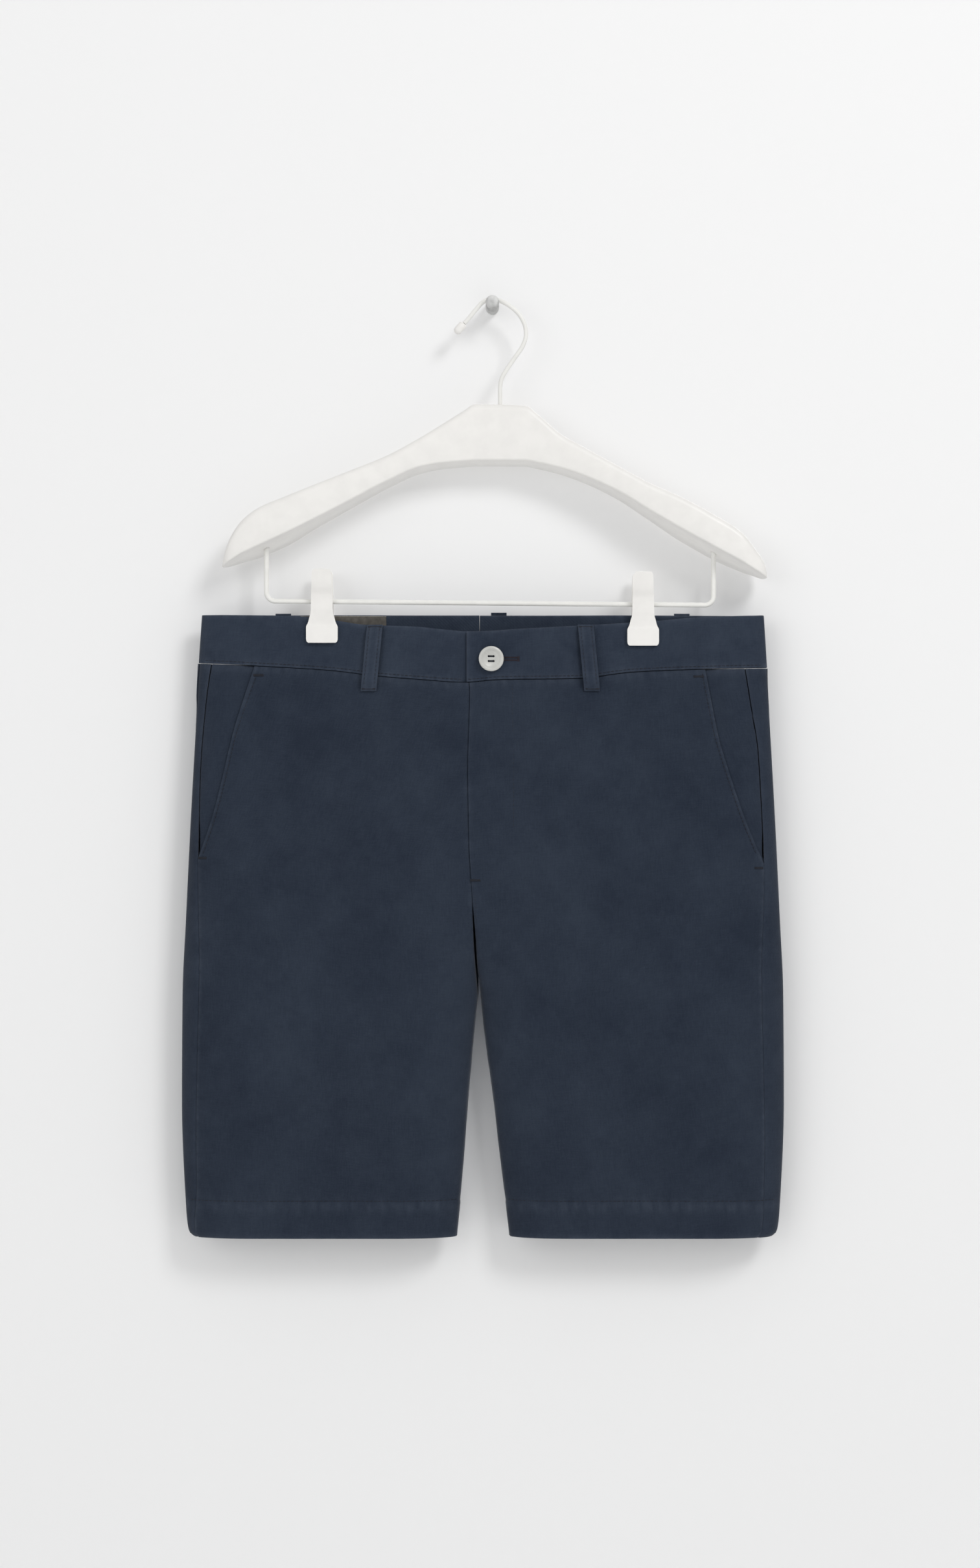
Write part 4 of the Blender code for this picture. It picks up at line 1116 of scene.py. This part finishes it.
def smoothRoute(points, steps):
    points = np.array(points, float)
    padded = np.vstack([2 * points[0] - points[1], points, 2 * points[-1] - points[-2]])
    route = []
    for before, start, end, after in zip(padded, padded[1:], padded[2:], padded[3:]):
        for step in range(steps):
            t = step / steps
            route.append(0.5 * (2 * start + (end - before) * t
                                + (2 * before - 5 * start + 4 * end - after) * t ** 2
                                + (3 * start - before - 3 * end + after) * t ** 3))
    route.append(points[-1])
    return route


def makeWire(name, route, radius, material):
    curve = bpy.data.curves.new(name, "CURVE")
    curve.dimensions = "3D"
    curve.bevel_depth = radius * mm
    curve.bevel_resolution = 6
    curve.use_fill_caps = True
    spline = curve.splines.new("POLY")
    spline.points.add(len(route) - 1)
    for point, spot in zip(spline.points, route):
        point.co = (*((np.array(spot) + datum) * mm), 1)
    piece = bpy.data.objects.new(name, curve)
    bpy.context.scene.collection.objects.link(piece)
    pick(piece)
    bpy.ops.object.convert(target="MESH")
    piece = bpy.context.object
    editMode()
    bpy.ops.mesh.select_all(action="SELECT")
    bpy.ops.mesh.remove_doubles(threshold=0.00001)
    objectMode()
    piece.data.materials.clear()
    piece.data.materials.append(material)
    smoothByAngle(piece, 50)
    return piece


route = smoothRoute([(x, 0, height) for x, height in hookRoute], 8)
hook = makeWire("wireHook", route, wire["hookRadius"], wirePaint)
finishPiece(hook, "coated_wire", "hook")

end, way = route[-1], route[-1] - route[-2]
way = way / np.linalg.norm(way)
clearSelection()
bpy.ops.mesh.primitive_uv_sphere_add(segments=40, ring_count=24, radius=wire["tipRadius"] * mm)
tip = bpy.context.object
tip.name = "hookTip"
editMode()
bpy.ops.mesh.select_all(action="DESELECT")
work = bmesh.from_edit_mesh(tip.data)
for vert in work.verts:
    vert.select_set(vert.co.z > -1e-6)
work.select_flush_mode()
bmesh.update_edit_mesh(tip.data)
bpy.ops.transform.translate(value=(0, 0, (wire["tipLength"] - 2 * wire["tipRadius"] + 1.2) * mm))
work = bmesh.from_edit_mesh(tip.data)
for vert in work.verts:
    if vert.co.z < 0:
        vert.co.z *= 0.45  # the end that the wire goes into is flatter
bmesh.update_edit_mesh(tip.data)
objectMode()
tip.rotation_euler = (0, math.atan2(way[0], way[2]), 0)
tip.location = Vector((end + way * (0.2 + 0.45 * wire["tipRadius"]) + datum) * mm)
applyPlace(tip)
finishHard(tip, whitePlastic, 60, "white_plastic", "hook_tip")

# X of the leg, height of the level stretch, height of the leg's end
barLegs = ((-171.0, 11.3, 64.0), (182.8, 8.2, 61.0))
barRoute = [(barLegs[0][0], 0, barLegs[0][2])]
for sign, (x, level, top) in ((1, barLegs[0]), (-1, barLegs[1])):
    bend = []
    for i in range(13):
        turn = 0.5 * math.pi * i / 12
        bend.append((x + sign * wire["bend"] * (1 - math.cos(turn)), 0,
                     level + wire["bend"] * (1 - math.sin(turn))))
    barRoute += bend if sign > 0 else bend[::-1]
barRoute.append((barLegs[1][0], 0, barLegs[1][2]))
bar = makeWire("clipBar", barRoute, wire["barRadius"], wirePaint)
finishPiece(bar, "coated_wire", "clip_bar")
print("hanger, hook and bar made")



# height above the bar, half width, distance of the inner face from the hanging plane
jawRows = ((25.2, 6.0, 9.7), (24.4, 7.0, 9.6), (22.6, 7.6, 9.4), (12, 8.0, 7.9), (5, 8.4, 5.5),
           (-1, 8.6, 4.9), (-6.5, 8.7, 4.6), (-9.2, 8.9, 4.1), (-12, 9.7, 3.8), (-17.6, 11.3, 3.3),
           (-19.0, 12.1, 3.2), (-20.6, 12.5, 3.1), (-29.4, 12.5, 3.1), (-31.8, 12.0, 3.1), (-32.8, 10.8, 3.1))
jaw = {"wall": 2.6, "backMore": 0.8, "barrel": 4.4, "bore": 2.15}


def barHeight(x):
    return float(np.interp(x, (barLegs[0][0], barLegs[1][0]), (barLegs[0][1], barLegs[1][1])))


def jawGrid(centre, sign, middle):
    ups = np.concatenate([25.2 - 1.6 * inwardSpacing(7)[:-1], np.linspace(23.6, -31, 60)[:-1],
                          -32.8 + 1.8 * inwardSpacing(7)[::-1]])
    table = [(-up, half, off) for up, half, off in jawRows]
    half = readTable(table, -ups, 1)[:, None]
    off = readTable(table, -ups, 2)[:, None] + jaw["wall"]
    if sign > 0:
        off = off + jaw["backMore"] * ease((-ups[:, None] - 7) / 3)
    across = np.sin(0.5 * math.pi * np.linspace(-1, 1, 25))[None, :]
    x = centre + half * across
    crown = 0.35 * (1 - across ** 2)
    shoulder = 0.45 * ease((-ups[:, None] - 17.5) / 2.5)
    y = sign * (off + crown + shoulder)
    z = middle + ups[:, None] + 0 * x
    grid = np.stack([x, y, z], axis=-1)
    return grid if sign < 0 else grid[:, ::-1]


for side, word in sides:
    centre = side * shorts["clipX"]
    middle = barHeight(centre)
    for face, sign in (("front", -1), ("back", 1)):
        clip = gridMesh(f"clipJaw_{word}_{face}", jawGrid(centre, sign, middle))
        solid = clip.modifiers.new("wall", "SOLIDIFY")
        solid.thickness = jaw["wall"] * mm
        solid.offset = -1
        addBevel(clip, 0.75, 3, 50)
        applyModifiers(clip)
        finishHard(clip, whitePlastic, 45, "white_plastic", f"clip_{word}_{face}")
    place = placeOf(centre, 0, middle)
    barrel = addCylinder(48, jaw["barrel"], 13, place, 0.5 * math.pi)
    barrel.name = f"clipBarrel_{word}"
    applyPlace(barrel)
    tool = addCylinder(40, jaw["bore"], 20, place, 0.5 * math.pi)
    cutOut(barrel, [tool])
    addBevel(barrel, 0.4, 2, 40)
    applyModifiers(barrel)
    discard([tool])
    finishHard(barrel, whitePlastic, 40, "white_plastic", f"clip_{word}_barrel")
print("clips made")



# distance from the wall, radius
pegRows = ((0, 5.4), (15.5, 5.4), (16.6, 5.25), (17.5, 4.8), (19.2, 2.9), (20.4, 2.0), (22, 1.8),
           (23.6, 2.0), (24.8, 2.9), (26.4, 4.8), (27.2, 5.25), (28.2, 5.4), (30.6, 5.35),
           (32.2, 4.9), (33.3, 4.0), (33.9, 2.6), (34.2, 0.6))
clearSelection()
bpy.ops.mesh.primitive_circle_add(vertices=64, radius=pegRows[0][1] * mm, fill_type="NGON")
peg = bpy.context.object
peg.name = "wallPeg"
editMode()
bpy.ops.mesh.select_all(action="SELECT")
for before, after in zip(pegRows, pegRows[1:]):
    bpy.ops.mesh.extrude_region_move(TRANSFORM_OT_translate={"value": (0, 0, (after[0] - before[0]) * mm)})
    scale = after[1] / before[1]
    bpy.ops.transform.resize(value=(scale, scale, 1))
bpy.ops.mesh.select_all(action="SELECT")
bpy.ops.mesh.normals_make_consistent(inside=False)
objectMode()
work = bmesh.new()
work.from_mesh(peg.data)
for vert in work.verts:
    # shallow flutes all round
    turn = math.atan2(vert.co.y, vert.co.x)
    width = math.hypot(vert.co.x, vert.co.y)
    if width > 4.5 * mm:
        share = 1 - 0.03 * (0.5 + 0.5 * math.cos(16 * turn))
        vert.co.x *= share
        vert.co.y *= share
work.to_mesh(peg.data)
work.free()
peg.rotation_euler = (0.5 * math.pi, 0, 0)
peg.location = Vector(((pegLow[0] + pegHigh[0]) / 2, 0, (pegLow[2] + pegHigh[2]) / 2))
applyPlace(peg)
finishHard(peg, pegStone, 40, "peg_stone", "wall_peg")
print("peg made")



stage = {"floor": -1.16, "wallAt": 0.0015, "wallHalf": 1.6, "wallTop": 1.2, "daylight": 0.62,
         "eyeX": -0.0019, "eyeAway": 2.2, "eyeZ": -0.3804, "lens": 63.8}


def oneSidedWall():
    # the wall is seen from the front only, and takes no light from what is behind it
    material, tree, shader = newMaterial("paleWall", (0.93, 0.93, 0.93), 0.9)
    clear = tree.nodes.new("ShaderNodeBsdfTransparent")
    mix = tree.nodes.new("ShaderNodeMixShader")
    geometry = tree.nodes.new("ShaderNodeNewGeometry")
    path = tree.nodes.new("ShaderNodeLightPath")
    both = tree.nodes.new("ShaderNodeMath")
    both.operation = "SUBTRACT"
    both.use_clamp = True
    tree.links.new(path.outputs["Is Camera Ray"], both.inputs[0])
    tree.links.new(geometry.outputs["Backfacing"], both.inputs[1])
    tree.links.new(both.outputs[0], mix.inputs[0])
    tree.links.new(clear.outputs[0], mix.inputs[1])
    tree.links.new(shader.outputs[0], mix.inputs[2])
    out = tree.nodes["Material Output"]
    tree.links.new(mix.outputs[0], out.inputs["Surface"])
    return material


clearSelection()
bpy.ops.mesh.primitive_plane_add(size=1, location=(0, stage["wallAt"], 0), rotation=(0.5 * math.pi, 0, 0))
wall = bpy.context.object
wall.name = "stageWall"
wall.scale = (2 * stage["wallHalf"], stage["wallTop"] - stage["floor"], 1)
wall.location.z = 0.5 * (stage["wallTop"] + stage["floor"])
applyPlace(wall)
wall.data.materials.append(oneSidedWall())

clearSelection()
bpy.ops.mesh.primitive_plane_add(size=14, location=(0, 0, stage["floor"]))
floor = bpy.context.object
floor.name = "stageFloor"
floorPaint, tree, shader = newMaterial("paleFloor", (0.86, 0.86, 0.86), 0.9)
floor.data.materials.append(floorPaint)

world = bpy.data.worlds.new("studio")
bpy.context.scene.world = world
world.use_nodes = True
world.node_tree.nodes["Background"].inputs["Color"].default_value = (1, 1, 1, 1)
world.node_tree.nodes["Background"].inputs["Strength"].default_value = stage["daylight"]


def addSoftLight(name, place, aim, size, power):
    lamp = bpy.data.lights.new(name, "AREA")
    lamp.size = size
    lamp.energy = power
    piece = bpy.data.objects.new(name, lamp)
    piece.location = place
    piece.rotation_euler = (Vector(aim) - Vector(place)).to_track_quat("-Z", "Y").to_euler()
    bpy.context.scene.collection.objects.link(piece)


middle = (cadLow + cadHigh) / 2
addSoftLight("keyLight", (1.5, -2.3, 1.5), middle, 0.9, 30)
addSoftLight("fillLight", (-1.8, -2.6, 0.3), middle, 1.8, 12)
addSoftLight("backFill", (0.6, 2.6, 0.9), middle, 1.8, 18)

camera = bpy.data.cameras.new("camera")
camera.lens = stage["lens"]
camera.sensor_width = 36
camera.clip_start = 0.05
cameraPiece = bpy.data.objects.new("camera", camera)
cameraPiece.location = (stage["eyeX"], datum[1] * mm - stage["eyeAway"], stage["eyeZ"])
cameraPiece.rotation_euler = (0.5 * math.pi, 0, 0)
bpy.context.scene.collection.objects.link(cameraPiece)
bpy.context.scene.camera = cameraPiece
bpy.context.scene.view_settings.view_transform = "Standard"
print("stage, lights and camera ready")
